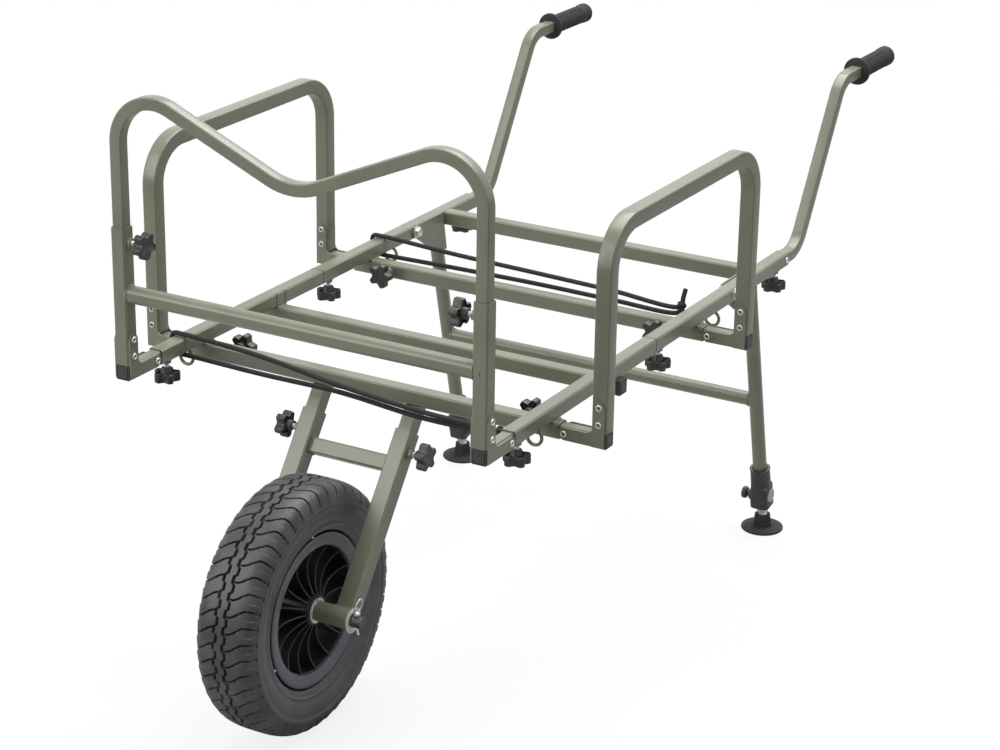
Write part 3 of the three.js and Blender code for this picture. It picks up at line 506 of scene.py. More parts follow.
@dataclass(frozen=True)
class ZincPlate(Finish):
    """Zinc plate or bare steel: a fine grain and a cloudy shine."""

    worn: Colour = linear(170, 170, 166)
    clouds: Grain = Grain(160.0, 4.0)
    cloud_range: Point = (0.35, 0.7)
    cloud_reach: float = 0.22
    lines: Grain = Grain(1400.0, 2.0)
    line_height: float = 0.00001

    def paint(self, graph: Graph) -> None:
        """Clouds the colour and roughness and raises the grain.

        Args:
            graph: The material's nodes.
        """
        clouds = graph.noise(self.clouds)
        graph.tint(clouds.step(*self.cloud_range), self.colour, self.worn)
        graph.surface("Roughness", self.roughness + clouds * self.cloud_reach)
        graph.bump(graph.noise(self.lines), self.line_height)


@dataclass(frozen=True)
class BraidedCord(Finish):
    """Woven elastic: two sets of strands that cross, drawn along the cord's own coordinates."""

    strand: Colour = linear(66, 64, 62)
    strands_round: float = 8.0
    strands_along: float = 260.0
    weave_range: Point = (-0.6, 0.8)
    weave_share: float = 0.75
    fuzz: Grain = Grain(3000.0, 2.0)
    fuzz_share: float = 0.2
    fuzz_rise: float = 0.3
    height: float = 0.0005

    def paint(self, graph: Graph) -> None:
        """Draws the strands as colour and height.

        Args:
            graph: The material's nodes.
        """
        split = graph.node("ShaderNodeSeparateXYZ", None, {0: graph.place("UV")}, "X")
        along = split * (self.strands_along * math.tau)
        across = split.twin("Y") * (self.strands_round * math.tau)
        weave = ((along + across).sine() * (along - across).sine()).step(*self.weave_range)
        fuzz = graph.noise(self.fuzz)
        graph.tint(weave * self.weave_share + fuzz * self.fuzz_share, self.colour, self.strand)
        graph.surface("Roughness", self.roughness)
        graph.bump(weave + fuzz * self.fuzz_rise, self.height)


METAL = (("Metallic", 1.0),)
GLOSSY_COAT = (("Coat Weight", 0.35), ("Coat Roughness", 0.22))
OLIVE = PowderCoat("olive_powder_coat", "olive_paint", linear(131, 131, 113), 0.34, GLOSSY_COAT)
WELD = PowderCoat("olive_weld", "olive_paint", linear(139, 139, 122), 0.36, GLOSSY_COAT,
                  peel=Grain(900.0, 1.0), peel_height=0.0001)
PLASTIC = Moulding("black_moulding", "black_plastic", linear(56, 54, 52), 0.40)
BLOCK = Moulding("black_block", "black_plastic", linear(58, 57, 56), 0.46)
GRIP = Moulding("grip_rubber", "grip_rubber", linear(46, 44, 44), 0.40, bloom=linear(92, 88, 88))
SOLE = Moulding("foot_rubber", "foot_rubber", linear(58, 56, 58), 0.55)
TREAD = TyreRubber("tread_rubber", "tyre_rubber", linear(57, 55, 57), 0.46)
WALL = TyreRubber("sidewall_rubber", "tyre_rubber", linear(76, 73, 80), 0.36, dust_share=0.3,
                  fine_height=0.00002)
# The rim plastic darkened to near black as painted shade for the inside of the wheel: barrel, hub and vanes.
# RIM_BAND is the same plastic in its lit tone.
RIM_SHADE = Moulding("rim_moulding", "rim_plastic", linear(9, 8, 11), 0.50, bloom=linear(16, 15, 19),
               grain_height=0.00002)
RIM_BAND = Moulding("rim_band", "rim_plastic", linear(102, 100, 108), 0.38, bloom=linear(120, 118, 127),
                    grain_height=0.00002)
# Beads along the vane edges, coloured lighter as a painted highlight.
RIM_EDGE_HIGHLIGHT = Moulding("rim_vane_edge", "rim_plastic", linear(70, 69, 75), 0.38, grain_height=0.00002)
ZINC = ZincPlate("bright_zinc", "bright_zinc", linear(226, 226, 220), 0.16, METAL)
STEEL = ZincPlate("dull_steel", "bright_zinc", linear(104, 105, 100), 0.34, METAL, worn=linear(84, 86, 82))
CAP = Moulding("collar_cap", "black_plastic", linear(176, 176, 178), 0.35, bloom=linear(150, 150, 152))
# A dark disc in each rivet's hollow, coloured as painted shade for the recess.
RIVET_HOLLOW_SHADE = Moulding("rivet_hollow", "bright_zinc", linear(88, 88, 84), 0.60)
CORD = BraidedCord("woven_cord", "cord_fabric", linear(26, 25, 26), 0.85)


def sized(shares: Profile, across: float, along: float, start: float = 0.0) -> list[Point]:
    """Pairs of shares as lengths, the second ones counted from a start."""
    return [(first * across, start + second * along) for first, second in shares]


def polar(radius: float, angle: float, height: float = 0.0) -> Vector:
    """A point at a radius, an angle about Z and a height."""
    return Vector((radius * math.cos(angle), radius * math.sin(angle), height))


def smooth_share(values: np.ndarray, low: float, high: float) -> np.ndarray:
    """Rises smoothly from 0 at low to 1 at high, for a whole array."""
    share = np.clip((values - low) / (high - low), 0.0, 1.0)
    return share * share * (3 - 2 * share)


class Crease(Enum):
    """Angle in degrees past which an edge of a piece stays sharp."""

    CRISP = 35.0
    FIRM = 40.0
    SOFT = 50.0
    ROUND = 60.0


class Shell:
    """Collects rings of points and skins them into one mesh."""

    pinch: float = 1e-6

    def __init__(self) -> None:
        """Starts empty."""
        self.points: list[Vector] = []
        self.faces: list[tuple[int, ...]] = []
        self.uvs: list[Point] = []

    def ring(self, points: Ring) -> list[int]:
        """Adds points.

        Args:
            points: The points of one ring.

        Returns:
            Their numbers.
        """
        start = len(self.points)
        self.points.extend(Vector(point) for point in points)
        return list(range(start, len(self.points)))

    def skin(self, rings: list[list[int]], closed: bool = False) -> None:
        """Joins each ring to the next.

        Args:
            rings: Numbers of the points, ring by ring.
            closed: Whether the last ring joins the first.
        """
        pairs = list(zip(rings, rings[1:]))
        if closed:
            pairs.append((rings[-1], rings[0]))
        for near, far in pairs:
            count = len(near)
            for index in range(count):
                after = (index + 1) % count
                self.faces.append((near[index], near[after], far[after], far[index]))

    def loft(self, rings: list[Ring], closed: bool = False) -> "Shell":
        """Adds rings and skins them, with a cap at each end unless closed.

        Args:
            rings: The rings, each with as many points.
            closed: Whether the loft closes on itself.

        Returns:
            This shell.
        """
        numbers = [self.ring(ring) for ring in rings]
        self.skin(numbers, closed)
        if not closed:
            self.faces.append(tuple(reversed(numbers[0])))
            self.faces.append(tuple(numbers[-1]))
        return self

    def turned(self, profile: list[Point], sides: int = 48, closed: bool = False,
               turn: Matrix | None = None) -> "Shell":
        """Turns a profile of radius and height about Z, and moves it by the turn."""
        levels = [(radius, height, 0.0) for radius, height in profile]
        return self.moulded(levels, lambda angle: 1.0, sides, closed, turn)

    def moulded(self, levels: list[tuple[float, float, float]], shape: Callable[[float], float],
                sides: int, closed: bool = False, turn: Matrix | None = None) -> "Shell":
        """Stacks outlines that are part circle and part another shape.

        Args:
            levels: Radius, height and share of the shape, from one end to the other.
            shape: Share of the radius that the shape reaches at an angle.
            sides: Steps round.
            closed: Whether the stack closes on itself.
            turn: Where the piece goes.

        Returns:
            This shell.
        """
        turn = turn or Matrix.Identity(4)
        angles = [math.tau * step / sides for step in range(sides)]
        reach = [1 - shape(angle) for angle in angles]
        rings = []
        for radius, height, share in levels:
            radius = max(radius, self.pinch)
            rings.append([turn @ polar(radius * (1 - share * cut), angle, height)
                          for angle, cut in zip(angles, reach)])
        return self.loft(rings, closed)

    def beam(self, start: Vector, end: Vector, across: Vector, up: Vector) -> "Shell":
        """A straight bar of four sides, from its middle line as far across and up on both sides."""
        corners = (across + up, up - across, -across - up, across - up)
        return self.loft([[middle + corner for corner in corners] for middle in (start, end)])

    def swept(self, line: list[Vector], radius: float, sides: int, closed: bool = False,
              swell: Callable[[int], float] = lambda index: 1.0) -> "Shell":
        """Sweeps a circle along a line, with coordinates along and around it.

        Args:
            line: Points along the middle.
            radius: Radius of the circle.
            sides: Steps round.
            closed: Whether the line closes on itself.
            swell: Share of the radius at each point.

        Returns:
            This shell.
        """
        count = len(line)
        across = (line[1] - line[0]).orthogonal().normalized()
        travelled = 0.0
        rings = []
        for index, point in enumerate(line):
            before = line[index - 1] if index or closed else point
            after = line[(index + 1) % count] if index + 1 < count or closed else point
            heading = (after - before).normalized()
            across = (across - heading * across.dot(heading)).normalized()
            up = heading.cross(across)
            travelled += (point - before).length if index else 0.0
            reach = radius * swell(index)
            rings.append(self.ring([point + across * x + up * y for x, y in round_outline(reach, sides)]))
            self.uvs += [(travelled, 2 * abs(step / sides - 0.5)) for step in range(sides)]
        self.skin(rings, closed)
        if not closed:
            self.faces.append(tuple(reversed(rings[0])))
            self.faces.append(tuple(rings[-1]))
        return self

    def piece(self, name: str, finish: Finish, body: str, replaces: tuple[str, ...] = (),
              crease: Crease = Crease.FIRM) -> None:
        """Makes the Blender object, smooths it and lets it ride on its body.

        Args:
            name: The piece's name.
            finish: Its finish.
            body: The body that it rides on.
            replaces: Nodes of the frame that it stands for.
            crease: Which edges stay sharp.
        """
        mesh = bpy.data.meshes.new(name)
        mesh.from_pydata([tuple(point) for point in self.points], [], self.faces)
        if len(self.uvs) == len(self.points):
            layer = mesh.uv_layers.new(name="UVMap")
            for loop in mesh.loops:
                layer.data[loop.index].uv = self.uvs[loop.vertex_index]
        mesh.validate()
        mesh.shade_smooth()
        mesh.set_sharp_from_angle(angle=math.radians(crease.value))
        mesh.materials.append(finish.material())
        piece = bpy.data.objects.new(name, mesh)
        bpy.context.scene.collection.objects.link(piece)
        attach(piece, body)
        if replaces:
            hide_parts(*replaces)
        log.info("%s rides on %s", name, body)


def square_outline(size: float, corner: float, steps: int = 4) -> list[Point]:
    """Outline of a square whose corners are rounded.

    Args:
        size: Width over the flats.
        corner: Radius of the corners.
        steps: Facets in each corner.

    Returns:
        The points, anticlockwise.
    """
    flat = size / 2 - corner
    points = []
    for quarter, (right, up) in enumerate(((1, 1), (-1, 1), (-1, -1), (1, -1))):
        for step in range(steps + 1):
            angle = (quarter + step / steps) * math.pi / 2
            points.append((right * flat + corner * math.cos(angle), up * flat + corner * math.sin(angle)))
    return points


def round_outline(radius: float, sides: int) -> list[Point]:
    """Outline of a circle, anticlockwise."""
    return [(radius * math.cos(math.tau * step / sides), radius * math.sin(math.tau * step / sides))
            for step in range(sides)]


@dataclass
class BentLine:
    """A line through corner points, all in one plane, with rounded bends."""

    corners: list[Vector]
    radii: list[float]
    step: float = math.radians(4)

    def stations(self) -> list[tuple[Vector, Vector]]:
        """Points and tangents along the line, stepped where it bends.

        Returns:
            Pairs of a point and the direction there.
        """
        count = len(self.corners)
        heads = [(self.corners[i + 1] - self.corners[i]).normalized() for i in range(count - 1)]
        found = [(self.corners[0], heads[0])]
        for index in range(1, count - 1):
            before, after = heads[index - 1], heads[index]
            turn = before.angle(after)
            radius = self.radii[index - 1]
            start = self.corners[index] - before * (radius * math.tan(turn / 2))
            axis = before.cross(after).normalized()
            inward = axis.cross(before) * radius
            steps = max(2, math.ceil(turn / self.step))
            for step in range(steps + 1):
                rotate = Matrix.Rotation(turn * step / steps, 3, axis)
                found.append((start + inward - rotate @ inward, rotate @ before))
        found.append((self.corners[-1], heads[-1]))
        return found

    def swept(self, outline: list[Point], across: Vector, bevel: float = 0.0004) -> Shell:
        """Sweeps an outline along the line.

        Args:
            outline: The section's points.
            across: Normal of the plane that the line lies in.
            bevel: How far the ends' edges are broken.

        Returns:
            The swept shell.
        """
        stations = self.stations()
        width = max(x for x, _ in outline)
        shrink = (width - bevel) / width
        first, last = stations[0], stations[-1]
        runs = [(first[0], first[1], shrink), (first[0] + first[1] * bevel, first[1], 1.0)]
        runs += [(point, heading, 1.0) for point, heading in stations[1:-1]]
        runs += [(last[0] - last[1] * bevel, last[1], 1.0), (last[0], last[1], shrink)]
        rings = []
        for point, heading, scale in runs:
            up = heading.cross(across).normalized()
            rings.append([point + across * (x * scale) + up * (y * scale) for x, y in outline])
        return Shell().loft(rings)


@dataclass
class BentTubes:
    """The bent square tubes: front hoop, side hoops and handles."""

    inner_corner: float = 0.002
    hoop_shoulder_height: float = 0.983
    hoop_dip_height: float = 0.847
    hoop_shoulder_radius: float = 0.070
    hoop_dip_radius: float = 0.110
    hoop_start: float = 0.625
    side_top: float = 0.823
    side_radius: float = 0.068
    handle_start_place: float = 0.776
    handle_corner_place: float = 1.032
    handle_upper_place: float = 1.196035
    handle_end_place: float = 1.411
    handle_height: float = 0.785
    handle_lower_radius: float = 0.060
    handle_upper_radius: float = 0.050

    def build(self) -> None:
        """Sweeps each tube and gives it the olive paint."""
        self.build_front_hoop()
        for side in Side:
            self.build_side_hoop(side)
            self.build_handle(side)

    def build_front_hoop(self) -> None:
        """The M-shaped hoop that slides in the rack's posts."""
        y = LAYOUT.back(LAYOUT.post_place)
        x = LAYOUT.rail_x
        corners = [(-x, self.hoop_start), (-x, self.hoop_shoulder_height), (0, self.hoop_dip_height),
                   (x, self.hoop_shoulder_height), (x, self.hoop_start)]
        line = BentLine([Vector((x, y, z)) for x, z in corners],
                        [self.hoop_shoulder_radius, self.hoop_dip_radius, self.hoop_shoulder_radius])
        shell = line.swept(square_outline(LAYOUT.inner_tube, self.inner_corner), Vector((0, 1, 0)))
        shell.piece("front_hoop_tube", OLIVE, "front_hoop", ("front_hoop",))

    def build_side_hoop(self, side: Side) -> None:
        """One upside-down U beside the bed.

        Args:
            side: Which side.
        """
        x = side.value * LAYOUT.side_hoop_x
        front, rear = LAYOUT.back(LAYOUT.front_bar_place), LAYOUT.back(LAYOUT.rear_bar_place)
        top = self.side_top - LAYOUT.tube / 2
        corners = [(front, LAYOUT.rail_bottom), (front, top), (rear, top), (rear, LAYOUT.rail_bottom)]
        line = BentLine([Vector((x, y, z)) for y, z in corners], [self.side_radius] * 2)
        shell = line.swept(square_outline(LAYOUT.tube, LAYOUT.tube_corner), Vector((1, 0, 0)))
        shell.piece(f"{side.word}_side_hoop_tube", OLIVE, f"{side.word}_side_hoop",
                    (f"{side.word}_side_hoop",))

    def build_handle(self, side: Side) -> None:
        """One handle tube, from inside its rail to inside its grip.

        Args:
            side: Which side.
        """
        x = side.value * LAYOUT.rail_x
        corners = [(self.handle_start_place, LAYOUT.rail_height),
                   (self.handle_corner_place, LAYOUT.rail_height),
                   (self.handle_upper_place, self.handle_height),
                   (self.handle_end_place, self.handle_height)]
        line = BentLine([LAYOUT.spot(x, place, z) for place, z in corners],
                        [self.handle_lower_radius, self.handle_upper_radius])
        shell = line.swept(square_outline(LAYOUT.inner_tube, self.inner_corner), Vector((1, 0, 0)))
        shell.piece(f"{side.word}_handle_bend", OLIVE, f"{side.word}_handle",
                    (f"{side.word}_handle_tube",))


@dataclass
class TubeFrame:
    """The straight square tubes and plates, which keep their frame nodes."""

    bevel: float = 0.0007
    bevel_angle: float = math.radians(38)
    bevel_steps: int = 2
    flat_angle: float = math.radians(0.5)
    weld_reach: float = 0.00002
    steel: tuple[str, ...] = ("front_crossbar", "mid_crossbar", "rear_crossbar", "handle_crossbar",
                              "rack_frame", "wheel_fork", "leg_frame")
    sided_steel: tuple[str, ...] = ("front_rail", "rear_rail", "front_side_bracket",
                                    "rear_side_bracket")

    def dress(self, name: str, finish: Finish) -> None:
        """Softens a node's edges and gives it its finish.

        Args:
            name: The node.
            finish: Its finish.
        """
        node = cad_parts[name]
        mesh = node.data
        mesh.materials.clear()
        mesh.materials.append(finish.material())
        mesh.shade_smooth()
        weld = node.modifiers.new("weld", "WELD")
        weld.merge_threshold = self.weld_reach
        flat = node.modifiers.new("flat", "DECIMATE")
        flat.decimate_type = "DISSOLVE"
        flat.angle_limit = self.flat_angle
        edges = node.modifiers.new("edges", "BEVEL")
        edges.limit_method = "ANGLE"
        edges.angle_limit = self.bevel_angle
        edges.width = self.bevel
        edges.segments = self.bevel_steps
        edges.use_clamp_overlap = True
        node.modifiers.new("normals", "WEIGHTED_NORMAL").keep_sharp = True
        log.info("%s dressed as %s", name, finish.name)

    def build(self) -> None:
        """Dresses every node of the frame that stays."""
        for name in self.steel:
            self.dress(name, OLIVE)
        for side in Side:
            for name in self.sided_steel:
                self.dress(f"{side.word}_{name}", OLIVE)


@dataclass
class CornerBlocks:
    """Plastic blocks under the posts and caps on the middle bar: each has a raised panel and a plug."""

    neck: float = 0.0016
    panel: float = 0.0185
    groove: float = 0.0009
    groove_depth: float = 0.0012
    margin_drop: float = 0.0007
    edge: float = 0.0005
    plug: float = 0.0214
    plug_length: float = 0.016
    cap_length: float = 0.008

    def panelled(self, origin: Vector, outward: Axis, back: float, front: float, neck: float) -> Shell:
        """A square block with a raised panel in a groove on its outward face.

        Args:
            origin: Middle of the block's square.
            outward: Direction that its panel faces.
            back: Where the block starts along that direction.
            front: Where the panel ends.
            neck: How much its top is lowered, which leaves a dark gap.

        Returns:
            The shell.
        """
        up, out = Vector((0, 0, 1)), Vector(outward.value)
        along = up.cross(out)
        edge = self.edge
        face = front - self.margin_drop
        floor = face - self.groove_depth
        opening = self.panel + 2 * self.groove
        squash = 1 - neck / LAYOUT.tube
        size = LAYOUT.tube
        levels = ((size - 2 * edge, back), (size, back + edge), (size, face - edge), (size - 2 * edge, face),
                  (opening, face), (opening, floor), (self.panel, floor), (self.panel, front - edge),
                  (self.panel - 2 * edge, front))
        return Shell().loft([[origin + along * across + up * (rise * squash - neck / 2) + out * depth
                              for across, rise in square_outline(width, LAYOUT.tube_corner)]
                             for width, depth in levels])

    def block(self, corner: Corner) -> None:
        """Makes the block of one corner, with its plug in the post above.

        Args:
            corner: The corner.
        """
        half = LAYOUT.tube / 2
        shell = self.panelled(corner.origin, corner.outward, -half, half, self.neck)
        plug = square_outline(self.plug, LAYOUT.tube_corner)
        levels = (0.0, half + self.plug_length)
        shell.loft([[corner.origin + Vector((x, y, z)) for x, y in plug] for z in levels])
        node = f"{corner.name}_block"
        shell.piece(f"{node}_cap", BLOCK, corner.body, (node,), Crease.CRISP)

    def bar_cap(self, side: Side) -> None:
        """The cap on one end of the middle bar, with its plug in the bar.

        Args:
            side: Which side.
        """
        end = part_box("mid_crossbar")[1][0]
        origin = LAYOUT.spot(side.value * end, LAYOUT.mid_bar_place, LAYOUT.bar_height)
        shell = self.panelled(origin, side.outward, 0.0, self.cap_length, 0.0)
        plug = square_outline(self.plug, LAYOUT.tube_corner)
        ends = (-self.plug_length, self.cap_length / 2)[::side.value]
        shell.loft([[origin + Vector((side.value * depth, y, z)) for y, z in plug] for depth in ends])
        shell.piece(f"{side.word}_middle_bar_cap", BLOCK, "frame", (), Crease.CRISP)

    def build(self) -> None:
        """Makes all six blocks and both caps."""
        for side in Side:
            self.bar_cap(side)
            for corner in post_corners(side):
                self.block(corner)


def hexagon(angle: float) -> float:
    """Share of the radius that a hexagon reaches at an angle."""
    sector = math.pi / 3
    return math.cos(sector / 2) / math.cos(angle % sector - sector / 2)


@dataclass
class StarKnobs:
    """Clamp screws: a nut on the tube, a threaded stud and a five-lobed head, hollow behind."""

    stud_radius: float = 0.004
    thread_pitch: float = 0.0015
    thread_depth: float = 0.0006
    standoff: float = 0.014
    neck_radius: float = 0.010
    neck_height: float = 0.0065
    radius: float = 0.0215
    height: float = 0.016
    scallop: float = 0.0075
    scallop_power: float = 0.9
    lobes: int = 5
    tip_share: float = 0.30
    edge: float = 0.0022
    wall: float = 0.0035
    hollow: float = 0.0055
    rib_half: float = 0.0008
    rib_start: float = 0.9
    rib_end: float = 0.8
    dish: float = 0.0007
    nut_radius: float = 0.0082
    nut_height: float = 0.0062
    flange_radius: float = 0.0098
    flange_height: float = 0.0012
    neck_shares: Profile = ((0.55, 0.0), (0.78, 0.0), (0.85, 0.10), (0.85, 0.45), (1.0, 0.60), (1.0, 1.0))
    head_sides: int = 120
    stud_sides: int = 20
    nut_sides: int = 48
    rack_place: float = 0.026
    frame_place: float = 0.489
    handle_place: float = 0.943
    side_x: float = 0.266
    hoop_drop: float = 0.024
    fork_drop: float = 0.078

    def star(self, angle: float) -> float:
        """Share of the radius that the star reaches at an angle.

        Args:
            angle: The angle.

        Returns:
            The share.
        """
        phase = angle * self.lobes / math.tau
        away = abs(phase - round(phase)) - self.tip_share / 2
        share = max(0.0, away) / (1 - self.tip_share)
        return 1 - self.scallop / self.radius * math.sin(math.pi * share) ** self.scallop_power

    def head(self, where: Matrix) -> Shell:
        """The moulded head, with its hollow and ribs on the stud's side.

        Args:
            where: Place and direction of the screw.

        Returns:
            The shell.
        """
        start = self.standoff + self.neck_height
        end = start + self.height
        r, edge, wall = self.radius, self.edge, self.wall
        floor = start + self.hollow
        levels = [(self.neck_radius, floor, 0.0), (r - wall, floor, 1.0),
                  (r - wall + edge / 2, start + edge / 2, 1.0), (r - wall / 2, start, 1.0),
                  (r - edge / 3, start + edge / 4, 1.0), (r, start + edge, 1.0), (r, end - edge, 1.0),
                  (r - edge / 3, end - edge / 4, 1.0), (r - edge, end, 1.0), (r - wall, end, 1.0),
                  (r - wall - edge / 2, end - self.dish, 1.0)]
        shell = Shell().moulded(levels, self.star, self.head_sides, turn=where)
        neck = sized(self.neck_shares, self.neck_radius, floor - self.standoff, self.standoff)
        shell.turned(neck, turn=where)
        turn = where.to_3x3()
        for lobe in range(self.lobes):
            angle = math.tau * lobe / self.lobes
            across = turn @ polar(self.rib_half, angle + math.pi / 2)
            middle = (start + floor) / 2 + edge / 4
            up = turn @ Vector((0, 0, (floor - start) / 2 - edge / 8))
            shell.beam(where @ polar(self.neck_radius * self.rib_start, angle, middle),
                       where @ polar(r - wall * self.rib_end, angle, middle), across, up)
        return shell

    def stud(self, where: Matrix) -> Shell:
        """The threaded stud between the tube and the head.

        Args:
            where: Place and direction of the screw.

        Returns:
            The shell.
        """
        low, high = self.stud_radius - self.thread_depth, self.stud_radius
        turns = int(self.standoff / self.thread_pitch)
        thread = [(high if half else low, self.thread_pitch * (index + half / 2))
                  for index in range(turns) for half in (0, 1)]
        thread.append((low, self.standoff + self.thread_pitch / 2))
        return Shell().turned(thread, self.stud_sides, turn=where)

    def nut(self, where: Matrix) -> Shell:
        """The flanged nut that is welded on the tube, with a bore for the stud.

        Args:
            where: Place and direction of the screw.

        Returns:
            The shell.
        """
        r, h, bore = self.nut_radius, self.nut_height, self.stud_radius
        rim, seat = self.flange_radius, self.flange_height
        chamfer = seat / 2
        levels = [(bore, 0.0, 0.0), (rim, 0.0, 0.0), (rim, seat, 0.0), (r, seat, 1.0), (r, h - chamfer, 1.0),
                  (r - chamfer, h, 0.0), (bore, h, 0.0)]
        return Shell().moulded(levels, hexagon, self.nut_sides, closed=True, turn=where)

    def screw(self, name: str, carrier: str, where: Matrix) -> None:
        """Makes one clamp screw.

        Args:
            name: The screw's node and body.
            carrier: The body of the tube that the nut is on.
            where: Place on the tube's face and direction.
        """
        self.head(where).piece(f"{name}_head", PLASTIC, name, (name,))
        self.stud(where).piece(f"{name}_stud", ZINC, name)
        self.nut(where).piece(f"{name}_nut", WELD, carrier)

    def build(self) -> None:
        """Makes all the clamp screws."""
        half, bar = LAYOUT.tube / 2, LAYOUT.bar_height
        front, rear = LAYOUT.back(LAYOUT.front_bar_place), LAYOUT.back(LAYOUT.rear_bar_place)
        for side in Side:
            x, bar_x = side.value * LAYOUT.rail_x, side.value * self.side_x
            post = LAYOUT.spot(x - side.value * half, LAYOUT.post_place, LAYOUT.post_top - self.hoop_drop)
            sleeve = Vector((side.value * (LAYOUT.fork_x + LAYOUT.sleeve / 2), 0, -self.fork_drop))
            under = [(name, "frame", LAYOUT.spot(x, place, LAYOUT.rail_bottom), Axis.DOWN)
                     for name, place in (("rack_knob", self.rack_place), ("frame_knob", self.frame_place),
                                         ("handle_knob", self.handle_place))]
            for name, carrier, place, axis in (
                    *under, ("front_side_knob", "frame", Vector((bar_x, front + half, bar)), Axis.BACK),
                    ("rear_side_knob", "frame", Vector((bar_x, rear - half, bar)), Axis.FRONT),
                    ("hoop_knob", "front_rack", post, side.inward),
                    ("fork_knob", "fork", sleeve, side.outward)):
                at = Matrix.Translation(place) @ axis.turn()
                where = LAYOUT.fork_frame() @ at if carrier == "fork" else at
                self.screw(f"{side.word}_{name}", carrier, where)


@dataclass
class TyreAndRim:
    """The pneumatic tyre with its tread, and the moulded rim with radial vanes."""

    radius: float = 0.200
    half_width: float = 0.052
    crown_turn: float = 0.93
    crown_drop: float = 0.0255
    crown_power: float = 3.2
    pitches: int = 48
    steps_per_pitch: int = 22
    crown_steps: int = 92
    middle_share: float = 0.62
    tread_depth: float = 0.0065
    groove_place: float = 0.105
    groove_half: float = 0.014
    groove_zigzag: float = 0.055
    groove_steep: float = 5.0
    soft: float = 0.018
    sipe_half: float = 0.034
    sipe_bend: float = 0.58
    sipe_lean: float = 0.14
    sipe_start: float = 0.14
    sipe_straight: float = 0.60
    sipe_floor: float = 0.6
    side_shift: float = 0.37
    shoulder_notch: float = 0.13
    notch_range: Point = (0.80, 0.96)
    cut_end: float = 0.93
    block_ramp: float = 0.0026
    ramp_range: Point = (0.45, 0.8)
    ramp_end: float = 0.95
    wall_shares: Profile = (
        (0.8725, 0.990), (0.8600, 0.998), (0.8440, 1.0), (0.8410, 0.985), (0.8150, 0.990), (0.7850, 0.986),
        (0.7820, 0.981), (0.7600, 0.966), (0.7400, 0.942), (0.7370, 0.936), (0.7100, 0.902), (0.6930, 0.874),
        (0.6900, 0.880), (0.6830, 0.876), (0.6800, 0.858), (0.6580, 0.832), (0.6420, 0.812), (0.6320, 0.785),
        (0.6220, 0.720), (0.6180, 0.600), (0.5950, 0.560))
    wall_sides: int = 160
    flange_radius: float = 0.1205
    rim_half: float = 0.042
    band_shares: Profile = (
        (1.0, 0.893), (1.0125, 0.920), (1.0125, 0.970), (1.0, 1.0), (0.967, 1.0), (0.860, 0.930),
        (0.848, 0.915), (0.843, 0.860), (0.843, 0.820), (0.865, 0.80), (0.865, 0.88))
    barrel_shares: Profile = (
        (0.843, 0.820), (0.832, 0.80), (0.832, -0.80), (0.843, -0.820), (0.865, -0.80), (0.865, 0.80))
    hub_radius: float = 0.024
    hub_half: float = 0.039
    hub_shares: Profile = (
        (0.44, 0.985), (0.47, 1.0), (0.90, 1.0), (1.0, 0.97), (1.0, 0.80), (0.92, 0.78), (0.92, -0.78),
        (1.0, -0.80), (1.0, -0.97), (0.90, -1.0), (0.47, -1.0), (0.44, -0.985))
    hub_sides: int = 64
    vane_count: int = 16
    vane_half_thickness: float = 0.0010
    vane_edges: Profile = ((0.0, 0.036), (0.55, 0.023), (1.0, 0.037))
    vane_end: float = 0.832
    vane_steps: int = 14
    vane_rim: float = 0.0008
    vane_rim_sides: int = 6
    spare: float = 0.0015
    turn: Matrix = field(default_factory=lambda: LAYOUT.axle_frame() @ Axis.LEFT.turn())

    def tread_cut(self, s: np.ndarray, p: np.ndarray) -> np.ndarray:
        """How deep the tread is cut, as a share of its depth.

        Args:
            s: Place across the tread, from -1 to 1.
            p: Place round the tyre, in pitches.

        Returns:
            Shares from 0 on the blocks to 1 in the grooves.
        """
        side = np.sign(s)
        away = np.abs(s)
        zigzag = np.clip(self.groove_steep * (np.abs((p * 2) % 2 - 1) - 0.5), -0.5, 0.5)
        groove_away = np.abs(away - self.groove_place - zigzag * self.groove_zigzag * side)
        groove = 1 - smooth_share(groove_away, self.groove_half, self.groove_half + self.soft)
        bend = self.sipe_bend * smooth_share(away, self.sipe_start, self.sipe_straight)
        lean = self.sipe_lean * smooth_share(away, self.sipe_straight, 1.0)
        phase = p + side * self.side_shift + (bend - lean) * side
        sipe_away = np.abs((phase + 0.5) % 1 - 0.5)
        half = self.sipe_half + self.shoulder_notch * smooth_share(away, *self.notch_range)
        sipe = (1 - smooth_share(sipe_away, half * self.sipe_floor, half + self.soft)) * smooth_share(
            away, self.sipe_start - self.soft, self.sipe_start + self.soft)
        return np.maximum(groove, sipe * (1 - smooth_share(away, self.cut_end, 1.0)))

    def tread(self) -> Shell:
        """The tread: a rib between zigzag grooves, and blocks parted by bent cuts that widen outward.

        Returns:
            The shell, open at both edges.
        """
        share = np.linspace(-1, 1, self.crown_steps + 1)
        share = share * (self.middle_share + (1 - self.middle_share) * np.abs(share))
        full = math.pi / 2 * self.crown_turn
        edge = self.half_width * self.wall_shares[0][1]
        x = edge * np.sin(share * full) / math.sin(full)
        radius = self.radius - self.crown_drop * np.abs(share) ** self.crown_power
        around = self.pitches * self.steps_per_pitch
        phase = np.arange(around) / self.steps_per_pitch
        s, p = np.meshgrid(share, phase)
        away = np.abs(s)
        ramp = ((p + np.sign(s) * self.side_shift) % 1) * self.block_ramp
        ramp = ramp * smooth_share(away, *self.ramp_range) * (1 - smooth_share(away, self.ramp_end, 1.0))
        radii = radius[None, :] - self.tread_depth * self.tread_cut(s, p) - ramp
        shell = Shell()
        rings = []
        for index in range(around):
            angle = math.tau * index / around
            rings.append(shell.ring([self.turn @ polar(r, angle, h) for r, h in zip(radii[index], x)]))
        for near, far in zip(rings, rings[1:] + rings[:1]):
            for k in range(self.crown_steps):
                shell.faces.append((near[k], far[k], far[k + 1], near[k + 1]))
        return shell

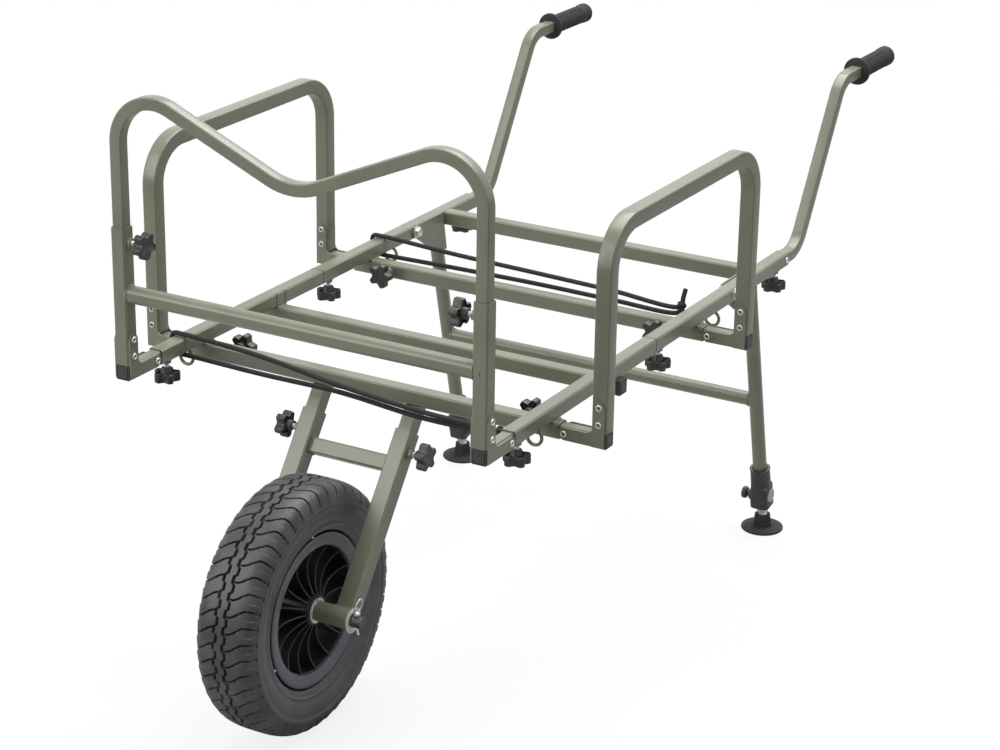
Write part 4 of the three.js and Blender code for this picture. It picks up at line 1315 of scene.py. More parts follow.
    def build_tyre(self) -> None:
        """The tyre: tread band and both sidewalls down to the beads."""
        self.tread().piece("tyre_tread", TREAD, "wheel", ("tyre",), Crease.SOFT)
        outline = sized(self.wall_shares, self.radius, self.half_width)
        for side in Side:
            wall = Shell()
            rings = [wall.ring([self.turn @ polar(radius, math.tau * k / self.wall_sides, side.value * place)
                                for k in range(self.wall_sides)]) for radius, place in outline]
            wall.skin(rings if side is Side.RIGHT else list(reversed(rings)))
            wall.piece(f"{side.word}_tyre_wall", WALL, "wheel", (), Crease.ROUND)

    def vane_line(self, share: float) -> tuple[float, float]:
        """Radius and half width of a vane at a place along it.

        Args:
            share: Share of the way from the hub to the barrel.

        Returns:
            The radius and the half width.
        """
        (_, near), (waist, middle), (_, far) = self.vane_edges
        start = self.hub_radius - self.spare
        end = self.flange_radius * self.vane_end + self.spare
        toward = share / waist if share < waist else (1 - share) / (1 - waist)
        edge = near if share < waist else far
        return start + (end - start) * share, middle + (edge - middle) * (1 - toward) ** 2

    def build_vanes(self) -> None:
        """Thin radial plates in painted shade whose edges are dished, each edge with a bead coloured lighter
        as a painted highlight.
        """
        vanes, edges = Shell(), Shell()
        line = [self.vane_line(step / self.vane_steps) for step in range(self.vane_steps + 1)]
        half = self.vane_half_thickness
        for index in range(self.vane_count):
            turn = self.turn @ Matrix.Rotation(math.tau * index / self.vane_count, 4, "Z")
            corners = ((-half, -1), (half, -1), (half, 1), (-half, 1))
            vanes.loft([[turn @ Vector((radius, across, side * edge)) for across, side in corners]
                        for radius, edge in line])
            for side in Side:
                edges.swept([turn @ Vector((radius, 0, side.value * edge)) for radius, edge in line],
                            self.vane_rim, self.vane_rim_sides)
        vanes.piece("rim_vanes", RIM_SHADE, "wheel")
        # The edge beads carry the painted highlight; the vanes carry the painted shade.
        edges.piece("rim_vane_edges", RIM_EDGE_HIGHLIGHT, "wheel", (), Crease.ROUND)

    def build_rim(self) -> None:
        """The rim: a barrel in painted shade, a lighter dished band on each side, and the hub in painted
        shade.
        """
        barrel = sized(self.barrel_shares, self.flange_radius, self.rim_half)
        # Barrel and hub take the near-black painted shade.
        Shell().turned(barrel, self.wall_sides, closed=True, turn=self.turn).piece(
            "rim_barrel", RIM_SHADE, "wheel", ("rim",), Crease.SOFT)
        for side in Side:
            band = sized(self.band_shares, self.flange_radius, side.value * self.rim_half)
            Shell().turned(band, self.wall_sides, closed=True, turn=self.turn).piece(
                f"{side.word}_rim_band", RIM_BAND, "wheel", (), Crease.SOFT)
        hub = sized(self.hub_shares, self.hub_radius, self.hub_half)
        Shell().turned(hub, self.hub_sides, closed=True, turn=self.turn).piece("rim_hub", RIM_SHADE, "wheel")

    def build(self) -> None:
        """Makes the wheel."""
        self.build_tyre()
        self.build_rim()
        self.build_vanes()


@dataclass
class AxleSet:
    """Axle, its washers and the two ring pins."""

    radius: float = 0.010
    half_length: float = 0.123
    chamfer: float = 0.0012
    hub_half: float = 0.0393
    boss_end: float = 0.1033
    washer_thickness: float = 0.0025
    washer_radius: float = 0.020
    washer_shares: Profile = (
        (0.50, 0.0), (0.98, 0.0), (1.0, 0.3), (1.0, 0.8), (0.97, 1.0), (0.86, 1.0), (0.84, 0.55),
        (0.76, 0.55), (0.74, 0.95), (0.72, 1.0), (0.60, 1.0), (0.58, 0.5), (0.50, 0.5))
    washer_sides: int = 64
    pin_place: float = 0.112
    pin_radius: float = 0.002
    pin_sides: int = 12
    head_radius: float = 0.0052
    head_height: float = 0.0065
    head_shares: Profile = (
        (0.38, 0.0), (0.92, 0.0), (1.0, 0.15), (1.0, 0.55), (0.85, 0.80), (0.45, 0.97), (0.0, 1.0))
    head_sides: int = 24
    ring_half_width: float = 0.0095
    ring_half_height: float = 0.0130
    ring_lean: float = math.radians(14)
    ring_seat: float = 0.6
    ring_steps: int = 40
    wire_radius: float = 0.0011
    wire_sides: int = 10
    tail: Profile = ((0.0, -0.0100), (0.0002, -0.0140), (0.0012, -0.0180), (0.0026, -0.0215))
    clearance: float = 0.0003
    turn: Matrix = field(default_factory=lambda: LAYOUT.axle_frame() @ Axis.LEFT.turn())

    def build(self) -> None:
        """Makes the axle and its pins."""
        end, r, c = self.half_length, self.radius, self.chamfer
        rod = [(0, -end), (r - c, -end), (r, c - end), (r, end - c), (r - c, end), (0, end)]
        Shell().turned(rod, turn=self.turn).piece("axle_rod", STEEL, "fork", ("axle",))
        for side in Side:
            for number, start in enumerate((self.hub_half, self.boss_end)):
                section = sized(self.washer_shares, self.washer_radius, side.value * self.washer_thickness,
                                side.value * start)
                Shell().turned(section, self.washer_sides, closed=True, turn=self.turn).piece(
                    f"{side.word}_washer_{number}", ZINC, "fork")
            self.build_pin(side)

    def build_pin(self, side: Side) -> None:
        """One ring pin: domed head, shank with a bent tail, and an oval wire ring.

        Args:
            side: Which side.
        """
        at = LAYOUT.axle_frame() @ Matrix.Translation((side.value * self.pin_place, 0, 0))
        base = self.radius + self.clearance
        head = sized(self.head_shares, self.head_radius, self.head_height, base)
        pin = Shell().turned(head, self.head_sides, turn=at)
        shank = [at @ Vector((side.value * x, 0, z)) for x, z in ((0.0, base), *self.tail)]
        pin.swept(shank, self.pin_radius, self.pin_sides)
        lean = Matrix.Translation((0, 0, base + self.head_height * self.ring_seat)) @ Matrix.Rotation(
            side.value * self.ring_lean, 4, "Y")
        middle = self.ring_half_height - self.wire_radius
        ring = [at @ lean @ Vector((0, self.ring_half_width * math.cos(angle),
                                    middle + self.ring_half_height * math.sin(angle)))
                for angle in (math.tau * step / self.ring_steps for step in range(self.ring_steps))]
        pin.swept(ring, self.wire_radius, self.wire_sides, closed=True)
        pin.piece(f"{side.word}_ring_pin_wire", ZINC, f"{side.word}_ring_pin", (f"{side.word}_ring_pin",))


@dataclass
class Grips:
    """Rubber grips: flange, knurled barrel with grooves, and a domed ringed end."""

    start_place: float = 1.269324
    length: float = 0.146
    height: float = 0.785
    radius: float = 0.0175
    flange_radius: float = 0.025
    flange: float = 0.0065
    end_radius: float = 0.0185
    end_length: float = 0.0195
    start_shares: Profile = ((0.42, 0.0), (0.92, 0.0), (1.0, 0.3), (1.0, 0.7), (0.94, 1.0), (0.82, 1.2))
    end_shares: Profile = (
        (0.945, -0.25), (0.89, -0.15), (0.945, -0.05), (0.945, 0.0), (1.0, 0.08), (1.0, 0.30), (0.945, 0.36),
        (1.0, 0.42), (1.0, 0.68), (0.90, 0.86), (0.68, 0.97), (0.0, 1.0))
    sides: int = 144
    rows: int = 90
    knurl: float = 0.0010
    knurls_round: int = 18
    knurls_along: float = 700.0
    knurl_range: Point = (-0.1, 0.35)
    fields_round: int = 3
    field_range: Point = (0.12, 0.30)
    groove: float = 0.0017
    field_start: float = 0.016
    field_end: float = 0.032
    soft: float = 0.004

    def radius_at(self, place: float, angles: np.ndarray) -> np.ndarray:
        """Radius of the barrel at a place along it, for angles round it.

        Args:
            place: Distance from the flange's face.
            angles: The angles.

        Returns:
            The radii.
        """
        turn, slide = angles * self.knurls_round, place * self.knurls_along
        crossed = np.sin(turn + slide) * np.sin(turn - slide)
        bumps = self.knurl * smooth_share(crossed, *self.knurl_range)
        fields = smooth_share(np.abs(np.sin(angles * self.fields_round)), *self.field_range)
        end = self.length - self.field_end
        inside = smooth_share(np.full_like(angles, place), self.field_start, self.field_start + self.soft)
        inside = inside * (1 - smooth_share(np.full_like(angles, place), end - self.soft, end))
        return self.radius - self.groove * inside + inside * fields * (bumps + self.groove / 2)

    def build(self) -> None:
        """Makes both grips."""
        angles = np.arange(self.sides) * math.tau / self.sides
        begin = sized(self.start_shares, self.flange_radius, self.flange)
        finish = sized(self.end_shares, self.end_radius, self.end_length, self.length - self.end_length)
        levels = [(np.full_like(angles, radius), place) for radius, place in begin]
        barrel = np.linspace(begin[-1][1] + self.soft, finish[0][1] - self.soft / 4, self.rows)
        levels += [(self.radius_at(float(place), angles), float(place)) for place in barrel]
        levels += [(np.full_like(angles, max(radius, Shell.pinch)), place) for radius, place in finish]
        for side in Side:
            start = LAYOUT.spot(side.value * LAYOUT.rail_x, self.start_place, self.height)
            at = Matrix.Translation(start) @ Axis.BACK.turn()
            rings = [[at @ polar(radius, angle, place) for radius, angle in zip(radii, angles)]
                     for radii, place in levels]
            Shell().loft(rings).piece(f"{side.word}_grip_rubber", GRIP, f"{side.word}_handle",
                                      (f"{side.word}_grip",), Crease.SOFT)


@dataclass
class LegFeet:
    """Clamp collars, thumb screws, foot rods and mud feet."""

    collar_start: float = 0.022616
    collar_length: float = 0.082
    collar_radius: float = 0.019
    clamp_share: float = 0.50
    clamp_reach: float = 0.0178
    clamp_power: float = 5.0
    clamp_edge: float = 0.0012
    shelf: float = 0.0030
    shelf_lean: float = 0.0045
    waist_share: float = 0.93
    lip: float = 0.004
    bore: float = 0.0128
    lip_shares: tuple[float, float, float] = (2.0, 1.4, 0.5)
    cap_share: float = 0.30
    cap_radius: float = 0.0125
    cap_thickness: float = 0.0022
    boss_radius: float = 0.011
    boss_depth: float = 0.003
    boss_sides: int = 32
    thumb_place: float = 0.0195
    thumb_start: float = 0.0223
    thumb_radius: float = 0.011
    thumb_length: float = 0.014
    thumb_neck: float = 0.0065
    thumb_waist: float = 0.0045
    flutes: int = 12
    flute_share: float = 0.07
    rod_radius: float = 0.010
    rod_length: float = 0.260
    ball: float = 0.009
    ball_steps: int = 12
    ball_rings: int = 9
    neck_radius: float = 0.0065
    neck_height: float = 0.0075
    rod_start: float = 0.0093
    chamfer: float = 0.001
    foot_radius: float = 0.038
    foot_shares: Profile = (
        (0.0, 0.0), (0.90, 0.0), (0.975, 0.0), (1.0, 0.03), (1.0, 0.09), (0.985, 0.12), (0.95, 0.115),
        (0.90, 0.125), (0.62, 0.19))
    hub_radius: float = 0.018
    hub_height: float = 0.029
    hub_shares: Levels = (
        (1.04, 0.21, 0.0), (1.02, 0.25, 1.0), (1.02, 0.44, 1.0), (0.99, 0.47, 1.0), (0.90, 0.48, 1.0),
        (0.92, 0.55, 1.0), (0.92, 0.60, 1.0), (0.86, 0.88, 0.8), (0.80, 0.97, 0.4), (0.74, 1.0, 0.0),
        (0.57, 1.0, 0.0), (0.55, 0.92, 0.0))
    sides: int = 96

    def squared(self, angle: float) -> float:
        """Share of the collar's radius that its square clamp reaches at an angle."""
        flat = sum(abs(reach) ** self.clamp_power for reach in (math.cos(angle), math.sin(angle)))
        return self.clamp_reach / self.collar_radius * flat ** (-1 / self.clamp_power)

    def fluted(self, angle: float) -> float:
        """Share of the thumb screw's radius that its flutes leave at an angle."""
        return 1 - self.flute_share * (1 + math.cos(angle * self.flutes)) / 2

    def build(self) -> None:
        """Makes both feet."""
        for side in Side:
            leg = LAYOUT.leg_frame(side)
            middle = Matrix.Translation((0, 0, self.collar_start + self.thumb_place))
            screw = leg @ middle @ side.inward.turn()
            self.build_collar(side, leg, screw)
            self.build_screw(side, screw)
            self.build_rod(side, leg)
            self.build_foot(side)

    def build_collar(self, side: Side, leg: Matrix, screw: Matrix) -> None:
        """Clamp collar: a square clamp below a slanted shelf, and a round sleeve with a lip above.

        Args:
            side: Which side.
            leg: The leg's frame.
            screw: Place and direction of the thumb screw.
        """
        low, high = self.collar_start, self.collar_start + self.collar_length
        middle = low + self.collar_length * self.clamp_share
        r, edge, waist = self.collar_radius, self.clamp_edge, self.collar_radius * self.waist_share
        slope = self.shelf_lean / r
        tilts = {middle: slope, middle + self.shelf: slope}
        neck, root, brim = (high - self.lip * share for share in self.lip_shares)
        levels = [(self.rod_radius + edge / 4, low, 0.0), (r - edge, low, 1.0), (r, low + edge, 1.0),
                  (r, middle, 1.0), (waist + edge / 2, middle + self.shelf, 0.0), (waist, neck, 0.0),
                  (waist, root, 0.0), (r - edge / 3, brim, 0.0), (r - edge / 3, high - edge / 2, 0.0),
                  (r - edge, high, 0.0), (self.bore + edge, high, 0.0), (self.bore, high - edge, 0.0),
                  (self.bore, middle, 0.0)]
        rings = []
        for radius, z, share in levels:
            ring = []
            for step in range(self.sides):
                angle = math.tau * step / self.sides
                point = polar(radius * (1 - share * (1 - self.squared(angle))), angle, z)
                point.z += tilts.get(z, 0.0) * point.x * side.value if radius > self.bore else 0.0
                ring.append(leg @ point)
            rings.append(ring)
        collar = Shell().loft(rings)
        start, end = self.clamp_reach - self.boss_depth, self.collar_radius + self.boss_depth
        boss = self.boss_radius
        collar.turned([(boss, start), (boss, end - edge), (boss - edge, end), (self.thumb_waist, end)],
                      self.boss_sides, turn=screw)
        collar.piece(f"{side.word}_collar", PLASTIC, "legs", (f"{side.word}_leg_collar",), Crease.CRISP)
        lift = Matrix.Translation((0, 0, low + self.collar_length * self.cap_share))
        cap, face, chamfer = self.cap_radius, self.clamp_reach, self.cap_thickness / 3
        top = face + self.cap_thickness
        section = [(0.0, face - edge), (cap, face - edge), (cap, top - chamfer), (cap - chamfer, top),
                   (0.0, top)]
        Shell().turned(section, turn=leg @ lift @ side.outward.turn()).piece(
            f"{side.word}_collar_cap", CAP, "legs")

    def build_screw(self, side: Side, screw: Matrix) -> None:
        """Thumb screw: a waist, then a fluted head.

        Args:
            side: Which side.
            screw: Its place and direction.
        """
        start, end, c = self.thumb_start, self.thumb_start + self.thumb_length, self.chamfer
        neck = start + self.thumb_neck
        r = self.thumb_radius
        levels = [(self.thumb_waist, start, 0.0), (self.thumb_waist, neck - c * 2, 0.0),
                  (r - c * 2, neck - c, 1.0), (r, neck + c, 1.0), (r, end - c, 1.0), (r - c, end, 1.0),
                  (r - c * 3, end, 1.0), (r - c * 4, end - c / 2, 0.0)]
        node = f"{side.word}_leg_knob"
        Shell().moulded(levels, self.fluted, self.sides, turn=screw).piece(
            f"{side.word}_thumb_screw", PLASTIC, node, (node,), Crease.SOFT)

    def build_rod(self, side: Side, leg: Matrix) -> None:
        """Bright rod that slides in the leg, with its ball.

        Args:
            side: Which side.
            leg: The leg's frame.
        """
        arc = [math.pi * step / self.ball_steps for step in range(self.ball_rings)]
        profile = [(self.ball * math.sin(angle), -self.ball * math.cos(angle)) for angle in arc]
        neck, r, c = self.neck_radius, self.rod_radius, self.chamfer
        start, end = self.rod_start, self.rod_length
        profile += [(neck, self.neck_height), (neck, start - c / 2), (r - c, start), (r, start + c),
                    (r, end - c), (r - c, end)]
        node = f"{side.word}_lower_leg"
        Shell().turned(profile, turn=leg).piece(f"{side.word}_foot_rod", ZINC, node, (node,))

    def build_foot(self, side: Side) -> None:
        """Mud foot: a thin coned sole and a stepped six-sided hub.

        Args:
            side: Which side.
        """
        at = Matrix.Translation((side.value * LAYOUT.rail_x, LAYOUT.foot_y, 0))
        sole = sized(self.foot_shares, self.foot_radius, self.foot_radius)
        levels = [(radius, z, 0.0) for radius, z in sole]
        levels += [(radius * self.hub_radius, z * self.hub_height, share)
                   for radius, z, share in self.hub_shares]
        node = f"{side.word}_foot"
        Shell().moulded(levels, hexagon, self.sides, turn=at).piece(
            f"{side.word}_mud_foot", SOLE, node, (node,), Crease.CRISP)


@dataclass
class Bungees:
    """Woven elastic cords looped over the right rail and knotted by the left one."""

    radius: float = 0.004
    end_share: float = 0.82
    sides: int = 16
    spacing: float = 0.0025
    gap: float = 0.0006
    knot_radius: float = 0.009
    knot_cord: float = 0.0033
    knot_steps: int = 96
    knot_depth: float = 0.0042
    touch: float = 0.0003
    front_place: float = 0.066
    rear_place: float = 0.658
    front_knot: tuple[float, float, float] = (1, -2, 0)
    front_upper: Levels = ((0.508, -1.4, -0.18), (0, -0.92, 0.06), (-0.542, -0.46, 0.6))
    front_lower: Levels = ((-0.542, -0.3, -0.66), (0, -0.86, -0.4), (0.508, -1.36, -0.58))
    front_tail: Levels = ((0.986, -1.92, -0.24),)
    rear_end: Levels = ((0.968, -0.3, 1.3), (0.962, -0.5, 0.66))
    rear_knot: tuple[float, float, float] = (0.959, -0.68, 0.16)
    rear_upper: Levels = ((0.508, -0.7, 0.32), (0, -0.56, 0.44), (-0.542, -0.4, 0.56))
    rear_lower: Levels = ((-0.542, -0.2, -0.52), (0, -0.3, -0.44), (0.508, -0.32, -0.5))
    rear_tail: Levels = ((0.92, -0.3, -0.5), (0.952, -0.4, -0.1))

    def spots(self, shares: Levels, place: float) -> list[Vector]:
        """Points from their shares of the knot's place across and of the tube's size back and up.

        Args:
            shares: Triples of shares.
            place: Where the cord goes round the rail.

        Returns:
            The points.
        """
        knot_x = LAYOUT.rail_x - LAYOUT.tube / 2 - self.knot_radius - self.touch
        tube = LAYOUT.tube
        return [LAYOUT.spot(knot_x * across, place + tube * back, LAYOUT.rail_height + tube * up)
                for across, back, up in shares]

    def wrap(self, y: float) -> list[Vector]:
        """Points of a cord over, outside and under the right rail.

        Args:
            y: Where the cord goes round the rail.

        Returns:
            The points.
        """
        bend = LAYOUT.tube_corner + self.radius + self.gap
        across = LAYOUT.rail_x + LAYOUT.tube / 2 - LAYOUT.tube_corner
        inside = LAYOUT.tube / 2 - LAYOUT.rail_x
        upper, lower = LAYOUT.rail_top - LAYOUT.tube_corner, LAYOUT.rail_bottom + LAYOUT.tube_corner
        points = [Vector((inside, y, upper + bend)), Vector((-LAYOUT.rail_x, y, upper + bend))]
        for height, first in ((upper, math.pi / 2), (lower, 0.0)):
            for share in (0.0, 0.5, 1.0):
                angle = first - math.pi / 2 * share
                points.append(Vector((-across - bend * math.cos(angle), y, height + bend * math.sin(angle))))
        return [*points, Vector((-LAYOUT.rail_x, y, lower - bend)), Vector((inside, y, lower - bend))]

    def curve(self, given: list[Vector]) -> list[Vector]:
        """Smooth curve through points, with knots spaced by the root of their distance.

        Args:
            given: The points.

        Returns:
            Closer points along the curve.
        """
        padded = [given[0] * 2 - given[1], *given, given[-1] * 2 - given[-2]]
        found = []
        for p0, p1, p2, p3 in zip(padded, padded[1:], padded[2:], padded[3:]):
            d1, d2, d3 = (max(math.sqrt((far - near).length), self.touch)
                          for near, far in ((p0, p1), (p1, p2), (p2, p3)))
            t1 = ((p1 - p0) / d1 - (p2 - p0) / (d1 + d2) + (p2 - p1) / d2) * d2
            t2 = ((p2 - p1) / d2 - (p3 - p1) / (d2 + d3) + (p3 - p2) / d3) * d2
            steps = max(1, round((p2 - p1).length / self.spacing))
            for step in range(steps):
                t = step / steps
                a = 2 * t ** 3 - 3 * t ** 2 + 1
                b = t ** 3 - 2 * t ** 2 + t
                found.append(p1 * a + t1 * b + p2 * (1 - a) + t2 * (t ** 3 - t ** 2))
        return [*found, given[-1]]

    def cord(self, name: str, node: str, place: float, knot: tuple[float, float, float],
             shares: tuple[Levels, ...]) -> None:
        """One cord and its knot.

        Args:
            name: The piece's name.
            node: The node that it stands for.
            place: Where the cord goes round the rail.
            knot: The knot's shares.
            shares: Shares of the points before the knot, above, below and after.
        """
        before, upper, lower, after = (self.spots(part, place) for part in shares)
        middle = self.spots((knot,), place)[0]
        route = [*before, middle, *upper, *self.wrap(LAYOUT.back(place)), *lower, *after]
        line = self.curve(route)
        ends = {0: self.end_share, len(line) - 1: self.end_share}
        Shell().swept(line, self.radius, self.sides, swell=lambda index: ends.get(index, 1.0)).piece(
            name, CORD, "frame", (node,), Crease.ROUND)
        self.knot(f"{name}_knot", middle)

    def knot(self, name: str, middle: Vector) -> None:
        """An overhand knot drawn tight, across the cord.

        Args:
            name: The piece's name.
            middle: The knot's middle.
        """
        reach = (self.knot_radius - self.knot_cord) / 3
        line = []
        for step in range(self.knot_steps):
            t = math.tau * step / self.knot_steps
            line.append(middle + Vector((self.knot_depth * math.sin(3 * t),
                                         reach * (math.sin(t) + 2 * math.sin(2 * t)),
                                         reach * (math.cos(t) - 2 * math.cos(2 * t)))))
        shell = Shell().swept(line, self.knot_cord, self.sides, closed=True)
        shell.piece(name, CORD, "frame", (), Crease.ROUND)

    def build(self) -> None:
        """Makes both cords and their knots."""
        self.cord("front_cord", "front_bungee", self.front_place, self.front_knot,
                  ((), self.front_upper, self.front_lower, self.front_tail))
        self.cord("rear_cord", "rear_bungee", self.rear_place, self.rear_knot,
                  (self.rear_end, self.rear_upper, self.rear_lower, self.rear_tail))


@dataclass
class Rivets:
    """Hollow rivet heads on the corner plates and at the rails' rear ends."""

    radius: float = 0.0055
    height: float = 0.0019
    head_shares: Profile = (
        (1.0, -0.1), (1.0, 0.2), (0.93, 0.65), (0.75, 1.0), (0.60, 0.95), (0.48, 0.5), (0.44, 0.1),
        (0.0, 0.1))
    head_sides: int = 24
    hollow_radius: float = 0.0026
    hollow_height: float = 0.0004
    hollow_shares: Profile = ((0.0, 0.0), (1.0, 0.0), (1.0, 1.0), (0.8, 1.2), (0.0, 1.1))
    hollow_sides: int = 20
    plate_face: float = 0.0150
    upper: float = 0.053
    lower: float = 0.026
    side: float = 0.058
    rail_end_place: float = 0.968

    def head(self, name: str, body: str, place: Vector, axis: Axis) -> None:
        """One rivet head with its hollow middle, filled by a dark disc as painted shade.

        Args:
            name: The piece's name.
            body: The body that it rides on.
            place: Middle of its seat.
            axis: Direction that it faces.
        """
        turn = Matrix.Translation(place) @ axis.turn()
        head = sized(self.head_shares, self.radius, self.height)
        Shell().turned(head, self.head_sides, turn=turn).piece(name, ZINC, body)
        # The dark disc paints the shade inside the rivet's hollow.
        hollow = sized(self.hollow_shares, self.hollow_radius, self.hollow_height)
        Shell().turned(hollow, self.hollow_sides, turn=turn).piece(f"{name}_hollow", RIVET_HOLLOW_SHADE, body)

    def corner(self, corner: Corner) -> None:
        """The rivets of one corner: two up the post and one along the stub, on both faces.

        Args:
            corner: The corner.
        """
        up, outward = Vector((0, 0, 1)), Vector(corner.outward.value)
        for face in corner.faces:
            for number, spot in enumerate((up * self.upper, up * self.lower, outward * -self.side)):
                place = corner.origin + spot + Vector(face.value) * self.plate_face
                self.head(f"{corner.name}_rivet_{face.name.lower()}_{number}", corner.body, place, face)

    def build(self) -> None:
        """Makes the rivets of all six corners and of the rails' ends."""
        for side in Side:
            for corner in post_corners(side):
                self.corner(corner)
            x = side.value * (LAYOUT.rail_x + LAYOUT.tube / 2)
            place = LAYOUT.spot(x, self.rail_end_place, LAYOUT.rail_height)
            self.head(f"{side.word}_rail_end_rivet", "frame", place, side.outward)


@dataclass
class PivotBolts:
    """Bolts that the legs fold on, each with a washer and a hexagon at both ends."""

    place: float = 0.757
    shank_radius: float = 0.005
    head_radius: float = 0.0088
    head_height: float = 0.0055
    washer_radius: float = 0.0115
    washer_height: float = 0.0012
    washer_edge: float = 0.3
    tip: float = 0.0015
    head_shares: Levels = (
        (0.0, 0.0, 0.0), (1.0, 0.0, 1.0), (1.0, 0.85, 1.0), (0.90, 1.0, 0.3), (0.55, 1.0, 0.0),
        (0.45, 0.85, 0.0), (0.0, 0.85, 0.0))
    head_sides: int = 48
    shank_sides: int = 24

    def across(self, x: float) -> Matrix:
        """The place of the bolts at an X."""
        return Matrix.Translation(LAYOUT.spot(x, self.place, LAYOUT.rail_height))

    def end(self, shell: Shell, where: Matrix) -> None:
        """Adds a washer and a hexagon head or nut.

        Args:
            shell: The bolt's shell.
            where: Middle of the seat and direction outward.
        """
        w, h = self.washer_radius, self.washer_height
        chamfer = h * self.washer_edge
        shell.turned([(0.0, 0.0), (w, 0.0), (w, h - chamfer), (w - chamfer, h), (0.0, h)], turn=where)
        levels = [(reach * self.head_radius, h + rise * self.head_height, share)
                  for reach, rise, share in self.head_shares]
        shell.moulded(levels, hexagon, self.head_sides, turn=where)

    def build(self) -> None:
        """Makes both bolts in the space of their nodes."""
        for side in Side:
            node = f"{side.word}_pivot_bolt"
            low, high = (corner[0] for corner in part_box(node))
            shell = Shell()
            for axis, face in ((Axis.RIGHT, low), (Axis.LEFT, high)):
                seat = face - axis.value[0] * (self.head_height + self.washer_height)
                self.end(shell, self.across(seat) @ axis.turn())
            r, start, end = self.shank_radius, low + self.tip, high - self.tip
            shank = [(0.0, start), (r, start), (r, end), (0.0, end)]
            shell.turned(shank, self.shank_sides, turn=self.across(0.0) @ Axis.LEFT.turn())
            shell.piece(f"{node}_set", ZINC, "frame", (node,), Crease.CRISP)


@dataclass
class SmallSteel:
    """Weld beads, wire rings under the rails, and the dark seam where the rails join."""

    bead_radius: float = 0.0017
    bead_ripple: float = 0.24
    bead_pitch: float = 0.0034
    bead_step: float = 0.0008
    bead_sides: int = 8
    ring_radius: float = 0.0125
    ring_wire: float = 0.0026
    ring_sides: int = 12
    ring_places: tuple[float, float] = (0.080, 0.692)
    seam_half: float = 0.0006
    seam_proud: float = 0.0002
    boss_offset: float = 0.012
    boss_radius: float = 0.016
    brace_depth: float = 0.020
    brace_shift: float = 0.005
    brace_drop: float = 0.1005
    leg_brace_place: float = 0.895692
    leg_brace_height: float = 0.269925
    curve_steps: int = 40

    def bead(self, shell: Shell, corners: list[Vector], closed: bool = False) -> None:
        """Adds a rippled weld bead along a line.

        Args:
            shell: The shell that it joins.
            corners: Points of the line.
            closed: Whether it ends where it starts.
        """
        corners = [*corners, corners[0]] if closed else corners
        line = []
        for start, end in zip(corners, corners[1:]):
            steps = max(1, round((end - start).length / self.bead_step))
            line += [start.lerp(end, step / steps) for step in range(steps)]
        line = line if closed else [*line, corners[-1]]
        beat = math.tau * self.bead_step / self.bead_pitch
        shell.swept(line, self.bead_radius, self.bead_sides, closed,
                    lambda index: 1 - self.bead_ripple * (0.5 + 0.5 * math.cos(index * beat)))

    def circle(self, centre: Vector, radius: float, first: float = 0.0,
               last: float = math.tau) -> list[Vector]:
        """Points of an arc round the X direction, measured from +Z towards +Y.

        Args:
            centre: Its centre.
            radius: Its radius.
            first: Angle where it starts.
            last: Angle where it ends.

        Returns:
            The points.
        """
        steps = self.curve_steps
        angles = [first + (last - first) * step / steps for step in range(steps + (last - first < math.tau))]
        return [centre + Vector((0, radius * math.sin(angle), radius * math.cos(angle))) for angle in angles]

    @staticmethod
    def square(centre: Vector, half_y: float, half_z: float) -> list[Vector]:
        """Corners of a rectangle that faces along X."""
        return [centre + Vector((0, y * half_y, z * half_z))
                for y, z in ((1, 1), (-1, 1), (-1, -1), (1, -1))]

    def frame_welds(self, side: Side, shell: Shell) -> None:
        """The beads between one rail and the four bars.

        Args:
            side: Which side.
            shell: The shell that the beads join.
        """
        half = LAYOUT.tube / 2
        for place in (LAYOUT.front_bar_place, LAYOUT.rear_bar_place):
            y = LAYOUT.back(place)
            for x in (LAYOUT.rail_x - half, LAYOUT.rail_x + half):
                self.bead(shell, [Vector((side.value * x, y + shift, LAYOUT.rail_bottom))
                                  for shift in (-half, half)])
        for place in (LAYOUT.mid_bar_place, LAYOUT.handle_bar_place):
            centre = LAYOUT.spot(side.value * (LAYOUT.rail_x - half), place, LAYOUT.rail_height)
            first, *others = self.square(centre, half, half)
            self.bead(shell, [*others, first])

    def fork_welds(self, side: Side, shell: Shell) -> None:
        """The beads round the brace's end and where the sleeve meets the boss.

        Args:
            side: Which side.
            shell: The shell that the beads join.
        """
        fork = LAYOUT.fork_frame()
        x, half = LAYOUT.fork_x, LAYOUT.sleeve / 2
        brace = Vector((side.value * (x - half), self.brace_shift, -self.brace_drop))
        loops = [(self.square(brace, self.brace_depth / 2, LAYOUT.tube / 2), True)]
        front = math.asin((self.boss_offset - half) / self.boss_radius)
        outer, inner = (self.circle(Vector((side.value * place, -self.boss_offset, -LAYOUT.fork_length)),
                                    self.boss_radius, math.pi / 2, front) for place in (x + half, x - half))
        loops.append((outer + inner[::-1], False))
        for loop, closed in loops:
            self.bead(shell, [fork @ point for point in loop], closed)

    def build(self) -> None:
        """Makes the beads, rings and seams."""
        rack, legs = Shell(), Shell()
        for side in Side:
            bed, fork = Shell(), Shell()
            self.frame_welds(side, bed)
            bed.piece(f"{side.word}_bed_welds", WELD, "frame", (), Crease.ROUND)
            self.fork_welds(side, fork)
            fork.piece(f"{side.word}_fork_welds", WELD, "fork", (), Crease.ROUND)
            inner = side.value * (LAYOUT.rail_x - LAYOUT.tube / 2)
            post = LAYOUT.spot(inner, LAYOUT.post_place, LAYOUT.rack_bar_height)
            self.bead(rack, self.circle(post, LAYOUT.rack_bar_radius), True)
            inner = side.value * (LAYOUT.rail_x - LAYOUT.leg_radius)
            brace = LAYOUT.spot(inner, self.leg_brace_place, self.leg_brace_height)
            self.bead(legs, self.circle(brace, LAYOUT.leg_radius), True)
            self.build_rings(side)
            self.build_seam(side)
        rack.piece("rack_bar_welds", WELD, "front_rack", (), Crease.ROUND)
        legs.piece("leg_brace_welds", WELD, "legs", (), Crease.ROUND)

